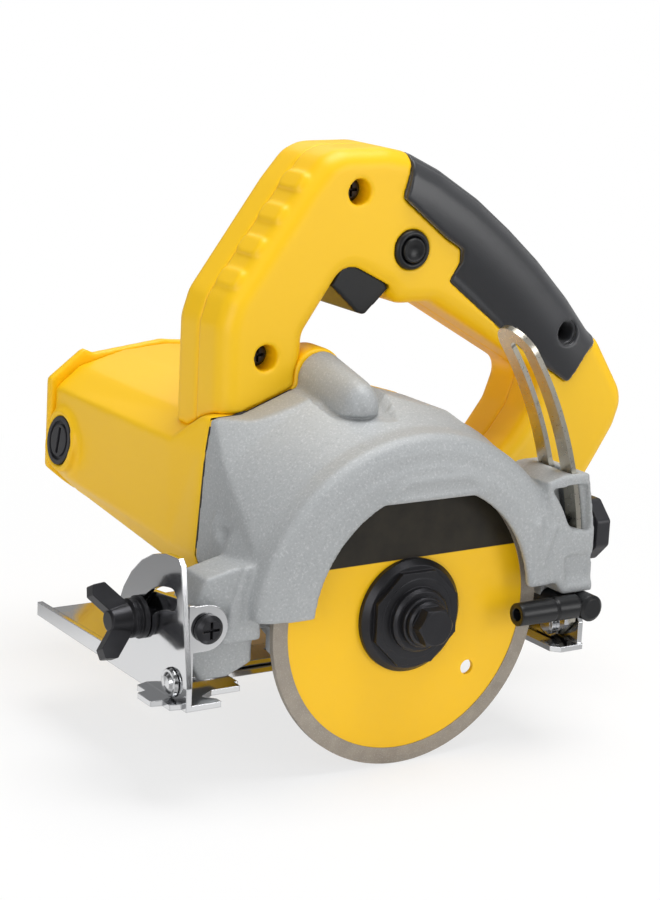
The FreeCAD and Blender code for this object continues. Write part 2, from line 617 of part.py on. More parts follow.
    # hollow back, keeping the bearing bosses
    hollow = inset(jointLine, 3.4, 20.6, jointY).common(turnedShape(
        [(0, 20), (guard - 1, 20.6), (guard + 1, 26), (guard + 10, jointY), (0, jointY)]))
    keep = cylinderY(15.4, 15, 37, 0, 0).fuse([
        cylinderY(13.4, 15, 27.5, motorAtX, motorAtZ), boxed(-3, 3, 15, 36, -20, 0)])
    hollow = hollow.cut(keep)
    screwHoles = [cylinderY(2.2, 24, jointY + 1, x, z) for x, z in caseScrews()]
    pivotBore = cylinderY(2.5, -1, 18, pivotX, pivotZ)
    dimple = Part.makeSphere(3.2, Vector(-guard + 2.4, 22, 30))
    shape = body.cut([room, arch, under, guide, window, pane, lock])
    posts = [cylinderY(4.6, 20, jointY, x, z) for x, z in caseScrews()]
    shape = shape.cut([hollow]).fuse(posts).fuse(keep.common(body))
    shape = shape.cut([hull, coverSeat, spindleBore, motorBore, pivotBore, dimple] + screwHoles)
    shape = shape.cut([cylinderY(1.7, side, 14, x, z) for x, z in coverScrews()])
    plate = prism([(-17, 43.6), (25, 43.6), (22, 47.8), (16.5, 51), (-9, 51), (-14, 48)],
                  front - 0.8, front + 1)
    panel = prism([(-14.5, 44.8), (22, 44.8), (19.5, 47.6), (15.5, 49.8), (-8.4, 49.8),
                   (-12.4, 47.6)], front - 2, front - 0.3)
    shape = shape.fuse(plate).cut(panel)
    arrow = prism([(47.5, 30), (49.6, 30.6), (51.6, 20), (54.6, 27.6), (56.2, 27.2),
                   (52, 14.5)], front - 0.4, front + 2)
    shape = shape.fuse(arrow)
    shape = max(shape.Solids, key=lambda solid: solid.Volume)
    finish(feature("gearCase", shape.removeSplitter()), "gear_case")


def rod3(radius, low, high, y, z):
    return Part.makeCylinder(radius, high - low, Vector(low, y, z), Vector(1, 0, 0))


def coverLine(grow=0):
    """Outline of the gear cover, x and z."""
    points = [(-25, -4), (-15, -17), (15, -17), (25, -4), (25, 9), (11, 33), (6, 38.5),
              (-20, 38.5), (-26.5, 32), (-26.5, 20)]
    centreX, centreZ = -3, 11
    scale = 1 + grow / 25
    return [(centreX + (x - centreX) * scale, centreZ + (z - centreZ) * scale)
            for x, z in points]


def coverScrews():
    return [(-20.6, 2), (20.3, 3.5), (-21.5, 29), (3.4, 33.6)]


def caseScrews():
    return [(-43, 47), topBoss, (29, 48.5), (28, 7), (-53, 14)]


def gearCover():
    low, high = num(size("sideWall")), num(size("sideWall")) + 3
    plate = prism(coverLine(), low, high)
    plate = plate.cut([cylinderY(8, low - 1, high + 1, 0, 0)] +
                      [cylinderY(2.1, low - 1, high + 1, x, z) for x, z in coverScrews()] +
                      [cylinderY(3.4, low - 1, low + 1.6, x, z) for x, z in coverScrews()])
    finish(feature("gearCover", plate), "gear_cover")
    seal = turned("spindleSeal", [
        (7.53, low + 0.2), (7.9, low + 0.2), (8, low + 0.3), (8, high - 0.1),
        (7.53, high - 0.1)])
    finish(seal, "spindle_seal")


def panScrews(name, centres, head, thread, top, seat, tip, label):
    """Cross-recessed pan screws along Y: head from top to seat, thread down to the tip."""
    solids = []
    for x, z in centres:
        screw = turnedShape([(0, top), (head * 0.7, top), (head, top + 0.45 * (seat - top)),
                             (head, seat), (thread, seat), (thread, tip), (0, tip)], x, z)
        deep = 0.6 * (seat - top)
        cross = boxed(x - 0.6 * head, x + 0.6 * head, top - 1, top + deep, z - 0.5, z + 0.5)
        other = boxed(x - 0.5, x + 0.5, top - 1, top + deep, z - 0.6 * head, z + 0.6 * head)
        solids.append(screw.cut([cross, other]))
    return finish(feature(name, Part.makeCompound(solids)), label)


# ---------------------------------------------------------------- motor housing
def tube(lines, stations):
    """Flat-sided solid through matching outlines at the given stations along Y."""
    rings = [[Vector(x, y, z) for x, z in points] for points, y in zip(lines, stations)]
    faces = [Part.Face(polygon(lines[0], stations[0])), Part.Face(polygon(lines[-1], stations[-1]))]
    for near, away in zip(rings, rings[1:]):
        for index in range(len(near)):
            after = (index + 1) % len(near)
            a, b, c, d = near[index], near[after], away[after], away[index]
            normal = (b - a).cross(d - a).normalize()
            if abs((c - a).dot(normal)) < 1e-6:
                pieces = [[a, b, c, d, a]]
            else:
                pieces = [[a, b, d, a], [b, c, d, b]]
            faces += [Part.Face(Part.makePolygon(piece)) for piece in pieces]
    solid = Part.Solid(Part.Shell(faces))
    if solid.Volume < 0:
        solid.reverse()
    return solid


def roundedWire(points, radius, y):
    """Closed outline at height y with an arc at each corner, smaller where a side is short."""
    count = len(points)
    corners = [Vector(px, y, pz) for px, pz in points]
    bends = []
    for index, here in enumerate(corners):
        back = corners[index - 1] - here
        ahead = corners[(index + 1) % count] - here
        shorter = min(back.Length, ahead.Length)
        back.normalize()
        ahead.normalize()
        slope = math.tan((math.pi - back.getAngle(ahead)) / 2)
        reach = min(radius * slope, 0.45 * shorter)
        way = (back + ahead).normalize()
        bend = reach / slope
        middle = here + way * (math.hypot(bend, reach) - bend)
        bends.append((here + back * reach, middle, here + ahead * reach))
    edges = []
    for index, (start, middle, stop) in enumerate(bends):
        edges.append(Part.Arc(start, middle, stop).toShape())
        edges.append(Part.makeLine(stop, bends[(index + 1) % count][0]))
    return Part.Wire(edges)


def roundPrism(points, radius, low, high):
    return Part.Face(roundedWire(points, radius, low)).extrude(Vector(0, high - low, 0))


def insetPoints(points, distance):
    """Outline moved inwards by a distance, corner by corner."""
    area = sum(a[0] * b[1] - b[0] * a[1] for a, b in zip(points, points[1:] + points[:1]))
    turn = 1 if area > 0 else -1
    moved = []
    for before, here, after in zip(points[-1:] + points[:-1], points, points[1:] + points[:1]):
        ax, az = here[0] - before[0], here[1] - before[1]
        bx, bz = after[0] - here[0], after[1] - here[1]
        la, lb = math.hypot(ax, az), math.hypot(bx, bz)
        nx, nz = (-az / la - bz / lb) * turn, (ax / la + bx / lb) * turn
        scale = 2 * distance / (nx * nx + nz * nz)
        moved.append((here[0] + nx * scale, here[1] + nz * scale))
    return moved


def housingOuter():
    end, rim = num(size("housingEnd")), num(size("flangeDepth"))
    return tube([jointLine, jointLine, tubeLine, endLine],
                [jointY, jointY + rim, jointY + 24, end])


def topLug():
    """Boss at the top of the joint that takes the uppermost case screw."""
    return cylinderY(10.3, jointY, jointY + 14, *topBoss)


def motorHousing():
    end, rim, thick = num(size("housingEnd")), num(size("flangeDepth")), num(size("housingWall"))
    x, z = num(motorX), num(motorZ)
    inner = tube([insetPoints(line, thick) for line in (jointLine, jointLine, tubeLine, endLine)],
                 [jointY - 0.01, jointY + rim, jointY + 24, end + 0.01])
    shell = housingOuter().cut(inner)
    ring = inner.common(boxed(-90, 90, jointY + 11, jointY + 14, -40, 90)).cut(
        cylinderY(26, jointY, 70, x, z))
    low, high = num(size("statorLow")), num(size("statorHigh"))
    seats = []
    for start, stop in ((low - 3, low), (high, high + 3)):
        seat = inner.common(boxed(-90, 90, start, stop, -40, 90)).cut(
            boxed(x - 27, x + 27, start - 1, stop + 1, z - 22, z + 22))
        seats.append(seat)
    y, tilt = num(size("brushY")), num(size("brushTilt"))
    bosses, holes = [], []
    for angle, reach in ((tilt, 52), (180 + tilt, 45)):
        boss = Part.makeCylinder(12.4, 13, Vector(x - reach + 12.4, y, z), Vector(-1, 0, 0))
        hole = Part.makeCylinder(9.5, 5, Vector(x - reach + 4, y, z), Vector(-1, 0, 0))
        well = Part.makeCylinder(6.7, 30, Vector(x - reach + 20, y, z), Vector(-1, 0, 0))
        bosses.append(boss.rotate(Vector(x, y, z), Vector(0, 1, 0), angle))
        for item in (hole, well):
            holes.append(item.rotate(Vector(x, y, z), Vector(0, 1, 0), angle))
    bosses = [boss.common(boxed(-62, 38.5, 100, end, -10, 70)) for boss in bosses]
    posts = [cylinderY(4.6, jointY, jointY + 14, px, pz).common(inner)
             for px, pz in caseScrews()]
    shape = shell.fuse([ring, topLug()] + seats + bosses + posts).cut(holes)
    shape = shape.cut([cylinderY(2.2, jointY - 1, jointY + 15, px, pz)
                       for px, pz in caseScrews()])
    blocks = [cylinderY(3.6, end - 12, end, px, pz).cut(cylinderY(1.6, end - 13, end + 1, px, pz))
              for px, pz in endScrews()]
    shape = shape.fuse(blocks)
    shape = shape.cut([cylinderY(1.6, end - 12, end + 1, px, pz) for px, pz in endScrews()])
    shape = max(shape.Solids, key=lambda solid: solid.Volume)
    finish(feature("motorHousing", shape), "motor_housing")


def endScrews():
    return [(-51, 46), (27, 46), (27, 5), (-46.5, 18)]


def endCover():
    end, last = num(size("housingEnd")), num(size("capEnd"))
    x, z = num(motorX), num(motorZ)
    crown = insetPoints(endLine, 3)
    outer = tube([lipLine, lipLine, crown], [end, last - 2.5, last])
    shape = outer.cut(prism(insetPoints(endLine, 3), end - 1, end + 2))
    collar = cylinderY(14, end - 4, end + 4.5, x, z)
    spokes = [boxed(-50, 28, end + 0.3, end + 3, z - 1.5, z + 1.5),
              boxed(x - 1.5, x + 1.5, end + 0.3, end + 3, 4, 58)]
    shape = shape.fuse([collar] + [s.common(prism(insetPoints(endLine, 4), end - 3, end + 4))
                                   for s in spokes])
    shape = shape.cut([cylinderY(11, end - 5, end + 4, x, z)])
    vents = []
    for index in range(7):
        height = -0.5 + 8.6 * index
        vents.append(boxed(-47, -28, end - 1, last + 1, height, height + 3.4))
        vents.append(boxed(8, 26, end - 1, last + 1, height, height + 3.4))
    vents = [vent for vent in vents if vent.BoundBox.ZMin > 0 and vent.BoundBox.ZMax < 56]
    shape = shape.cut(vents)
    shape = shape.cut([cylinderY(1.9, end - 1, last + 1, px, pz) for px, pz in endScrews()] +
                      [cylinderY(3.8, last - 2.4, last + 1, px, pz) for px, pz in endScrews()])
    shape = max(shape.Solids, key=lambda solid: solid.Volume)
    finish(feature("endCover", shape), "end_cover")


def rearScrews(name, centres, head, thread, top, seat, tip, label):
    """Pan screws along Y whose heads face the motor end."""
    solids = []
    for x, z in centres:
        screw = turnedShape([(0, tip), (thread, tip), (thread, seat), (head, seat),
                             (head, top - 0.6), (head * 0.7, top), (0, top)], x, z)
        cross = boxed(x - 0.6 * head, x + 0.6 * head, top - 0.9, top + 1, z - 0.5, z + 0.5)
        other = boxed(x - 0.5, x + 0.5, top - 0.9, top + 1, z - 0.6 * head, z + 0.6 * head)
        solids.append(screw.cut([cross, other]))
    return finish(feature(name, Part.makeCompound(solids)), label)


def endCoverScrews():
    last = num(size("capEnd"))
    rearScrews("endScrew", endScrews(), 3.4, 1.55, last - 0.4, last - 2.4, last - 16,
               "end_cover_screws")


def caseScrewSet():
    rearScrews("caseScrew", caseScrews(), 3.4, 2.15, jointY + 16.4, jointY + 14, jointY - 15,
               "gear_case_screws")


# ---------------------------------------------------------------- handle
def handleSolid(inward, low, high, outerRound, innerRound):
    """D-handle with its finger opening, both faces rounded over."""
    solid = roundPrism(insetPoints(handleLine, inward), 12, low, high)
    solid = solid.makeFillet(outerRound, [e for e in solid.Edges if flat(e)])
    opening = roundPrism(insetPoints(fingerLine, -inward), 7, low - 1, high + 1)
    solid = solid.cut(opening)
    rims = [edge for edge in solid.Edges if flat(edge) and
            all(opening.distToShape(Part.Vertex(end.Point))[0] < 1e-4 for end in edge.Vertexes)]
    return solid.makeFillet(innerRound, rims)


def flat(edge):
    return edge.BoundBox.YLength < 1e-6


def trigger():
    low, high = num(size("handleLow")) + 3, num(size("handleHigh")) - 3
    line = [(-8.8, 108.6), (-3.6, 117), (0, 121), (8, 118.6), (15.2, 106.6), (13.4, 104.6),
            (5.6, 97.4), (2.2, 98.6)]
    shape = prism(line, low, high)
    rims = [edge for edge in shape.Edges if along((0, 1, 0))(edge) and edge.BoundBox.ZMax < 106]
    shape = shape.makeFillet(1.2, rims)
    pin = cylinderY(1.6, low - 1.5, high + 1.5, -1.2, 117.8)
    return shape.fuse(pin)


def triggerRoom():
    """Space the trigger sweeps, with a clearance all round."""
    low, high = num(size("handleLow")) + 2.6, num(size("handleHigh")) - 2.6
    line = [(-8.8, 108.6), (-3.6, 117), (0, 121), (8, 118.6), (15.2, 106.6), (5.6, 97.4)]
    room = prism(insetPoints(line, -0.6), low, high)
    swept = room.copy()
    swept.rotate(Vector(-1.2, 0, 117.8), Vector(0, 1, 0), -8)
    half = room.copy()
    half.rotate(Vector(-1.2, 0, 117.8), Vector(0, 1, 0), -4)
    pin = cylinderY(1.65, low - 2, high + 2, -1.2, 117.8)
    return room.fuse([swept, half, pin])


def handleParts():
    low, middle, high = [num(size(n)) for n in ("handleLow", "partingY", "handleHigh")]
    skin, wall = num(size("gripSkin")), num(size("shellWall"))
    rim, edge = num(size("handleRound")), num(size("openingRound"))
    outer = handleSolid(0, low, high, rim, edge)
    core = handleSolid(skin, low + skin, high - skin, rim - 2, edge - 2)
    grip = outer.cut(core).common(prism(gripLine, low - 2, high + 2))
    deep = skin + wall
    hollow = handleSolid(deep, low + deep, high - deep, rim - 4, edge - 4)
    body = outer.cut(grip)
    # raised pads on the front of the post
    pads = []
    for i in range(4):
        pad = boxed(-1.3, 4, middle - 14.5, middle - 0.6, -3.9, 3.9)
        pad = pad.makeFillet(2.6, [e for e in pad.Edges if e.BoundBox.XLength > 4])
        pad = pad.makeFillet(1.2, [e for e in pad.Edges if onPlane("x", -1.3)(e)])
        pad.rotate(Vector(0, 0, 0), Vector(0, 1, 0), 35.5)
        pad.translate(Vector(-45.7 + 7.9 * i, 0, 112 + 11.1 * i))
        pads.append(pad)
    body = body.fuse(pads)
    bosses = [cylinderY(6.8, low + 4, high - 4, x, z) for x, z in handleScrews]
    body = body.cut(hollow).fuse([b.common(outer) for b in bosses])
    counter = [cylinderY(4.7, low - 1, low + 9, x, z) for x, z in handleScrews]
    threads = [cylinderY(2.1, low, high - 5, x, z) for x, z in handleScrews]
    lockBore = cylinderY(7.3, low - 1, low + 9, 22.7, 120.7)
    gland = glandBody(8.02)
    tools = counter + threads + [lockBore, triggerRoom(), gland, housingOuter(), topLug(),
                                 switchRoom()]
    body = body.cut(tools)
    body = body.cut(prism(jointLine, -20, jointY + 0.01))
    for start, stop, label in ((low - 1, middle, "handle_shell_left"),
                               (middle, high + 1, "handle_shell_right")):
        shell = body.common(boxed(-90, 160, start, stop, -20, 180))
        shell = max(shell.Solids, key=lambda solid: solid.Volume)
        finish(feature("handleShell", shell), label)
    grip = grip.cut(counter)
    grip = max(grip.Solids, key=lambda solid: solid.Volume)
    finish(feature("gripCover", grip), "grip_cover")
    panScrews("handleScrew", handleScrews, 4.2, 2.05, low + 6.4, low + 9, high - 6,
              "handle_screws")
    finish(feature("triggerPaddle", trigger()), "trigger")
    button = turned("lockButton", [
        (0, low - 2.2), (3.6, low - 2.2), (4.6, low - 1.4), (4.6, low + 4), (5.8, low + 4),
        (5.8, low + 5.4), (2.5, low + 5.4), (2.5, low + 7.5), (0, low + 7.5)], 22.7, 120.7)
    finish(button, "lock_on_button")
    bezel = turned("lockBezel", [
        (4.75, low - 1), (6.6, low - 1), (7.3, low - 0.2), (7.3, low + 3.6), (4.75, low + 3.6)],
        22.7, 120.7)
    finish(bezel, "lock_button_bezel")
    finish(feature("switchModule", switchBody()), "switch_module")
    inlet = glandBody(8).cut(glandBore())
    finish(feature("cordInlet", inlet), "cord_inlet")


def switchBody():
    body = boxed(4, 32, 51, 69, 124.4, 139.5)
    plunger = Part.makeCylinder(2, 5, Vector(6.5, 60, 121.2), Vector(0, 0, 1))
    ribs = [boxed(8 + 5 * i, 10 + 5 * i, 50.2, 69.8, 127, 137) for i in range(5)]
    return body.fuse([plunger] + ribs)


def switchRoom():
    return boxed(3.8, 32.2, 49.9, 70.1, 121, 139.7)


glandAt = Vector(99.5, 60, 9.5)
glandWay = Vector(0.75, 0, -0.66).normalize()


def glandBody(radius):
    tubePart = Part.makeCylinder(radius, 15, glandAt - glandWay * 8, glandWay)
    collar = Part.makeCylinder(radius + 1.6, 3, glandAt - glandWay * 8, glandWay)
    tip = Part.makeCone(radius, radius - 2, 6, glandAt + glandWay * 7, glandWay)
    return tubePart.fuse([collar, tip])


def glandBore():
    return Part.makeCylinder(4.2, 40, glandAt - glandWay * 20, glandWay)


# ---------------------------------------------------------------- water feed
def waterParts():
    wx, wz = waterLine
    across = turned("waterCross", [
        (2.2, -7.2), (3.6, -7.2), (3.6, 19.2), (3.4, 19.4), (3.4, 27), (2.8, 28), (3.35, 30),
        (2.8, 33), (3.35, 35), (2.8, 38), (2.2, 38)], wx, wz)
    finish(across, "water_cross_tube")
    plugEnd = turned("waterEnd", [
        (0, -15), (3.6, -15), (4.9, -14), (4.9, -7.3), (0, -7.3)], wx + 6.2, wz)
    finish(plugEnd, "water_end_cap")
    spoutY = -10.4
    pipe = turnedX("waterPipe", [
        (wx - 24.7, 2.3), (wx - 24.7, 4.2), (wx - 9.2, 4.4), (wx - 9.2, 3.9), (wx - 8.2, 3.9),
        (wx - 8.2, 4.4), (wx + 1.7, 4.4), (wx + 1.7, 0), (wx - 5.2, 0), (wx - 5.2, 2.3)],
                   spoutY, wz + 0.5)
    seat = drum(3.65, -7.25, 0, wx, wz)
    plug = drum(4.95, -20, 0, wx + 6.2, wz)
    finish(cut(pipe, seat, plug), "water_spout")


# ---------------------------------------------------------------- depth frame
def bevelRoom(near):
    """Lower corner of a frame plate, y and z, kept clear of the base as it swings up 45 degrees."""
    y, z = num(bevelY), num(bevelZ)
    reach = z - num(size("soleZ")) - num(size("sheetThick")) - 0.3
    half = reach * math.sqrt(0.5)
    return [(near, z - 2 * half + y - near), (y - half, z - half), (y - 0.2 * reach, z - reach + 0.1)]


def depthFrame():
    px, pz = num(depthX), num(depthZ)
    by, bz = num(bevelY), num(bevelZ)
    thick = num(size("sheetThick"))
    floor = num(size("soleZ")) + thick + 0.4
    front = num(baseFront) + thick + 0.3
    boltY, boltZ = bevelBolt()
    upright = [(-2, 9)] + bevelRoom(-2) + [(3.5, floor), (34, floor),
               (34, -4), (31, 6), (26, 12), (8, 14.2), (-2, 14.2)]
    wires = [Vector(front, y, z) for y, z in upright]
    plate = Part.Face(Part.makePolygon(wires + wires[:1])).extrude(Vector(thick, 0, 0))
    tab = boxed(front, px, -2, 0, pz - 8, pz + 8).fuse(
        cylinderY(8, -2, 0, px, pz).common(boxed(front, px + 9, -3, 1, pz - 9, pz + 9)))
    standAt = num(arcX) - 4.6
    rail = boxed(front, standAt + thick, 20, 34, floor, floor + thick)
    rear = bevelRoom(-5) + [(3.5, floor), (34, floor), (34, floor + 2.5), (19, floor + 2.5),
                            (16, -8), (-5, -8)]
    wires = [Vector(standAt, y, z) for y, z in rear]
    stand = Part.Face(Part.makePolygon(wires + wires[:1])).extrude(Vector(thick, 0, 0))
    nut = rod3(5, front + thick, front + thick + 0.9, boltY, boltZ)
    shape = plate.fuse([tab, rail, stand, nut])
    shape = shape.cut([cylinderY(2.57, -4, 2, px, pz), rod3(2.5, front - 1, front + 4, by, bz),
                       rod3(3.05, front - 1, front + 5, boltY, boltZ),
                       rod3(2.5, standAt - 5, standAt + 9, by, bz)])
    slot = boxed(-40, 40, 25, 29, floor - 1, floor + 4)
    shape = shape.cut(slot)
    finish(feature("depthFrame", shape.removeSplitter()), "depth_frame")


def bevelBolt():
    radius, angle = num(size("bevelRadius")), math.radians(num(size("bevelBoltAngle")))
    return (num(bevelY) + radius * math.cos(angle), num(bevelZ) + radius * math.sin(angle))


def depthArc():
    px, pz = num(depthX), num(depthZ)
    radius, thick, arcAt = num(arcRadius), num(size("arcThick")), num(arcX)
    low, high = num(size("arcLow")), num(size("arcHigh"))
    ring = cylinderY(radius, low, high, px, pz).cut(
        cylinderY(radius - thick, low - 1, high + 1, px, pz))
    half, middle = num(size("slotHalf")), (low + high) / 2
    top, far = math.radians(37.6), 300
    shoulder = top - (high - low) / 2 / radius

    def fan(start, stop):
        return prism([(px, pz)] + [(px + far * math.cos(a), pz + far * math.sin(a))
                                   for a in (start, stop)], low - 1, high + 1)

    def roundEnd(size, angle):
        along = Vector(math.cos(angle), 0, math.sin(angle))
        return Part.makeCylinder(size, 20, Vector(px, middle, pz) + along * (radius - 10), along)

    wedge = fan(-0.3, shoulder).cut(boxed(arcAt - 20, arcAt + 30, -20, 30, -40, -8))
    strip = ring.common(wedge.fuse(roundEnd((high - low) / 2, shoulder)))
    floor = num(size("soleZ")) + num(size("sheetThick")) + 0.4
    footLine = bevelRoom(low) + [(high, floor), (high, -7), (low, -7)]
    wires = [Vector(arcAt - 2.6, y, z) for y, z in footLine]
    foot = Part.Face(Part.makePolygon(wires + wires[:1])).extrude(Vector(thick, 0, 0))
    slotRing = cylinderY(radius + 5, middle - half, middle + half, px, pz).cut(
        cylinderY(radius - 5, low, high, px, pz))
    ends = [math.radians(4), shoulder]
    slot = slotRing.common(fan(*ends)).fuse([roundEnd(half, a) for a in ends])
    shape = strip.cut(slot).fuse(foot)
    shape = shape.cut(rod3(2.5, arcAt - 10, arcAt + 10, num(bevelY), num(bevelZ)))
    shape = shape.removeSplitter()
    finish(feature("depthArc", shape), "depth_arc")


# ---------------------------------------------------------------- base
def basePlate():
    front, rear, far = num(baseFront), num(baseRear), num(size("baseFar"))
    pivotX, guard = num(depthX), num(guardRadius)
    sole, thick = num(size("soleZ")), num(size("sheetThick"))
    by, bz = num(bevelY), num(bevelZ)
    line = [(front, -6), (pivotX + 4.2, -6), (pivotX + 4.2, -3), (pivotX + 0.7, 1),
            (pivotX + 6.7, 5), (-guard + 2.5, 5), (-guard + 2.5, 9), (-guard + 4, 9),
            (-guard + 4, 18), (guard - 5, 18), (guard - 5, -5), (guard - 2, -8),
            (rear - 0.5, -8), (rear, -7), (rear, far - 8), (rear - 8, far), (front, far)]
    floor = padded("basePlateFloor", "XY_Plane", size("soleZ"), size("soleZ") + size("sheetThick"),
                   [line])
    tongue = padded("sightTongue", "XY_Plane", size("soleZ"), size("soleZ") + size("sheetThick"),
                    [[(front + 1, 22), (front - 4.5, 20), (front - 4.5, 14), (front - 8, 13),
                      (front - 8, 4), (front - 4, 3), (front - 4, -2), (front + 1, -3)]])
    arc = [(by + 43 * math.cos(math.radians(a)), bz + 43 * math.sin(math.radians(a)))
           for a in (92, 80, 68, 56, 44, 32, 20, 8)]
    quadrantLine = [(-6, sole), (-6, sole + 8), (0.5, 27.5)] + arc + [
        (51, bz - 1.5), (far, bz - 2.5), (far, sole)]
    boltRadius, half = num(size("bevelRadius")), num(size("slotHalf")) + 0.4
    quadrant = padded("quadrantPlate", "YZ_Plane", baseFront, baseFront + size("sheetThick"),
                      [quadrantLine])
    start = num(size("bevelBoltAngle")) - 4
    slot = slotSector(boltRadius, half, start, start + 54)
    ear = padded("rearEar", "YZ_Plane", baseRear - 2.2, baseRear - 0.2,
                 [[(-7, sole), (-7, -11), (-5.8, -9), (-3, -3.5), (0, -2), (8, -2), (13, -4.5), (18, -14),
                   (30, -18), (30, sole)]])
    curl = padded("rearLip", "YZ_Plane", baseRear - 2.2, baseRear - 0.2,
                  [[(30, sole), (30, -16), (100, -16), (100, sole)]])
    body = fuse(floor, tongue, quadrant, ear, curl)
    doc.recompute()
    holes = feature("baseHoles", slot)
    frontHole = rod(2.57, front - 1, front + 3, bevelY, bevelZ)
    rearHole = rod(2.57, rear - 4, rear + 2, bevelY, bevelZ)
    fence = [block(x, x + 6, 60, 100, sole - 1, sole + 4) for x in (6 - guard, guard - 20)]
    finish(cut(body, holes, frontHole, rearHole, *fence), "base_plate")


def slotSector(radius, half, start, stop):
    """Curved slot about the bevel line, cut through the quadrant plate."""
    front = num(baseFront)
    by, bz = num(bevelY), num(bevelZ)
    ring = rod3(radius + half, front - 2, front + 5, by, bz).cut(
        rod3(radius - half, front - 3, front + 6, by, bz))
    far = 80
    angles = [math.radians(start + (stop - start) * i / 2) for i in range(3)]
    fan = [Vector(front - 2, by, bz)] + [
        Vector(front - 2, by + far * math.cos(a), bz + far * math.sin(a)) for a in angles]
    wedge = Part.Face(Part.makePolygon(fan + fan[:1])).extrude(Vector(8, 0, 0))
    ends = [rod3(half, front - 2, front + 5, by + radius * math.cos(a),
                 bz + radius * math.sin(a)) for a in (angles[0], angles[-1])]
    return ring.common(wedge).fuse(ends)


def rivets():
    front, rear, standAt = num(baseFront), num(baseRear), num(arcX) - 4.6
    head = turnedX("frontRivet", [
        (front - 3, 0), (front - 2.6, 2.6), (front - 1.6, 3.6), (front - 1.6, 4.6),
        (front - 0.6, 5.1), (front - 0.3, 5.1), (front - 0.3, 2.5), (front + 4.3, 2.5),
        (front + 4.3, 4), (front + 5, 3.4), (front + 5, 0)], bevelY, bevelZ)
    finish(head, "front_pivot_rivet")
    tail = turnedX("rearRivet", [
        (standAt - 2.2, 0), (standAt - 2.2, 3), (standAt - 1.6, 4.2), (standAt, 4.2),
        (standAt, 2.5), (rear + 0.1, 2.5),
        (rear + 0.1, 5), (rear + 1.2, 5), (rear + 2, 3.4), (rear + 2, 0)], bevelY, bevelZ)
    finish(tail, "rear_pivot_rivet")


def wingBolt():
    front = num(baseFront)
    y, z = bevelBolt()
    hub = turnedX("wingHub", [
        (front - 0.3, 0), (front - 0.3, 7.4), (front - 1.8, 7.4), (front - 2.2, 6.2),
        (front - 3.2, 6.2), (front - 3.6, 6.8), (front - 5, 6.8), (front - 5.6, 5.4),
        (front - 12.2, 4.2), (front - 12.8, 3.2), (front - 12.8, 0)], y, z)
    shank = rod(2.97, front - 1, front + 8.5, y, z)
    wings = []
    for side in (1, -1):
        corners = [Vector(front - 5, 0, 2 * side), Vector(front - 11.5, 0, 2 * side),
                   Vector(front - 17.6, 0, 9 * side), Vector(front - 17, 0, 12.6 * side),
                   Vector(front - 12.5, 0, 13 * side), Vector(front - 5, 0, 4.6 * side)]
        wing = Part.Face(Part.makePolygon(corners + corners[:1])).extrude(Vector(0, 5, 0))
        wing.translate(Vector(0, -2.5, 0))
        wing = wing.makeFillet(0.7, [e for e in wing.Edges if along((0, 1, 0))(e)])
        wing.rotate(Vector(0, 0, 0), Vector(1, 0, 0), -26)
        wing.translate(Vector(0, y, z))
        wings.append(feature("wing", wing))
    finish(fuse(hub, shank, *wings), "bevel_wing_bolt")


def lockPlace():
    # middle of the strip's slot, y and z
    return (num(size("arcLow")) + num(size("arcHigh"))) / 2, 22


def lockKnob():
    y, z = lockPlace()
    start = num(arcX) + 3.7
    corners = [(y + 12.4 * math.cos(math.radians(45 * i + 22.5)),
                z + 12.4 * math.sin(math.radians(45 * i + 22.5))) for i in range(8)]
    grip = padded("knobGrip", "YZ_Plane", start + 1.5, start + 8, [corners],
                  rounds=[(2.2, along((1, 0, 0))), (1.4, onPlane("x", start + 8))])
    collar = rod(8, start, start + 2.5, y, z)
    shank = rod(2.9, start - 13, start + 3, y, z)
    foot = rod(4.4, start - 13.5, start - 10.5, y, z)
    finish(fuse(grip, collar, shank, foot), "depth_lock_knob")


def pivotScrew():
    return panScrews("pivotScrew", [(num(depthX), num(depthZ))], 5, 2.48, -5.2, -2.3, 17,
                     "depth_pivot_screw")


# ---------------------------------------------------------------- build
bladeParts()
spindleParts()
gearParts()
armatureParts()
bearings()
statorParts()
brushParts()
gearCase()
gearCover()
panScrews("coverScrew", coverScrews(), 3.2, 1.65, num(size("sideWall")) + 0.1,
          num(size("sideWall")) + 1.6, 13, "gear_cover_screws")
motorHousing()
endCover()
endCoverScrews()
caseScrewSet()
handleParts()
waterParts()
depthFrame()
depthArc()
basePlate()
rivets()
wingBolt()
lockKnob()
pivotScrew()

doc.recompute()
os.makedirs("parts", exist_ok=True)
for obj in doc.Objects:
    if "Invalid" in obj.State or "Error" in obj.State:
        raise RuntimeError(f"{obj.Name} {obj.Label} did not rebuild: {obj.State}")
for obj in finished:
    shape = obj.Shape
    if shape.isNull() or not shape.isValid():
        raise RuntimeError(f"{obj.Label} has no valid shape")
    shape.exportStep(f"parts/{obj.Label}.step")
    box = shape.BoundBox
    print(f"{obj.Label:26s} solids {len(shape.Solids)} volume {shape.Volume:9.0f}"
          f"  x {box.XMin:6.1f} {box.XMax:6.1f}  y {box.YMin:6.1f} {box.YMax:6.1f}"
          f"  z {box.ZMin:6.1f} {box.ZMax:6.1f}")
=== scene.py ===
import math
import bmesh
import bpy
from mathutils import Matrix, Vector


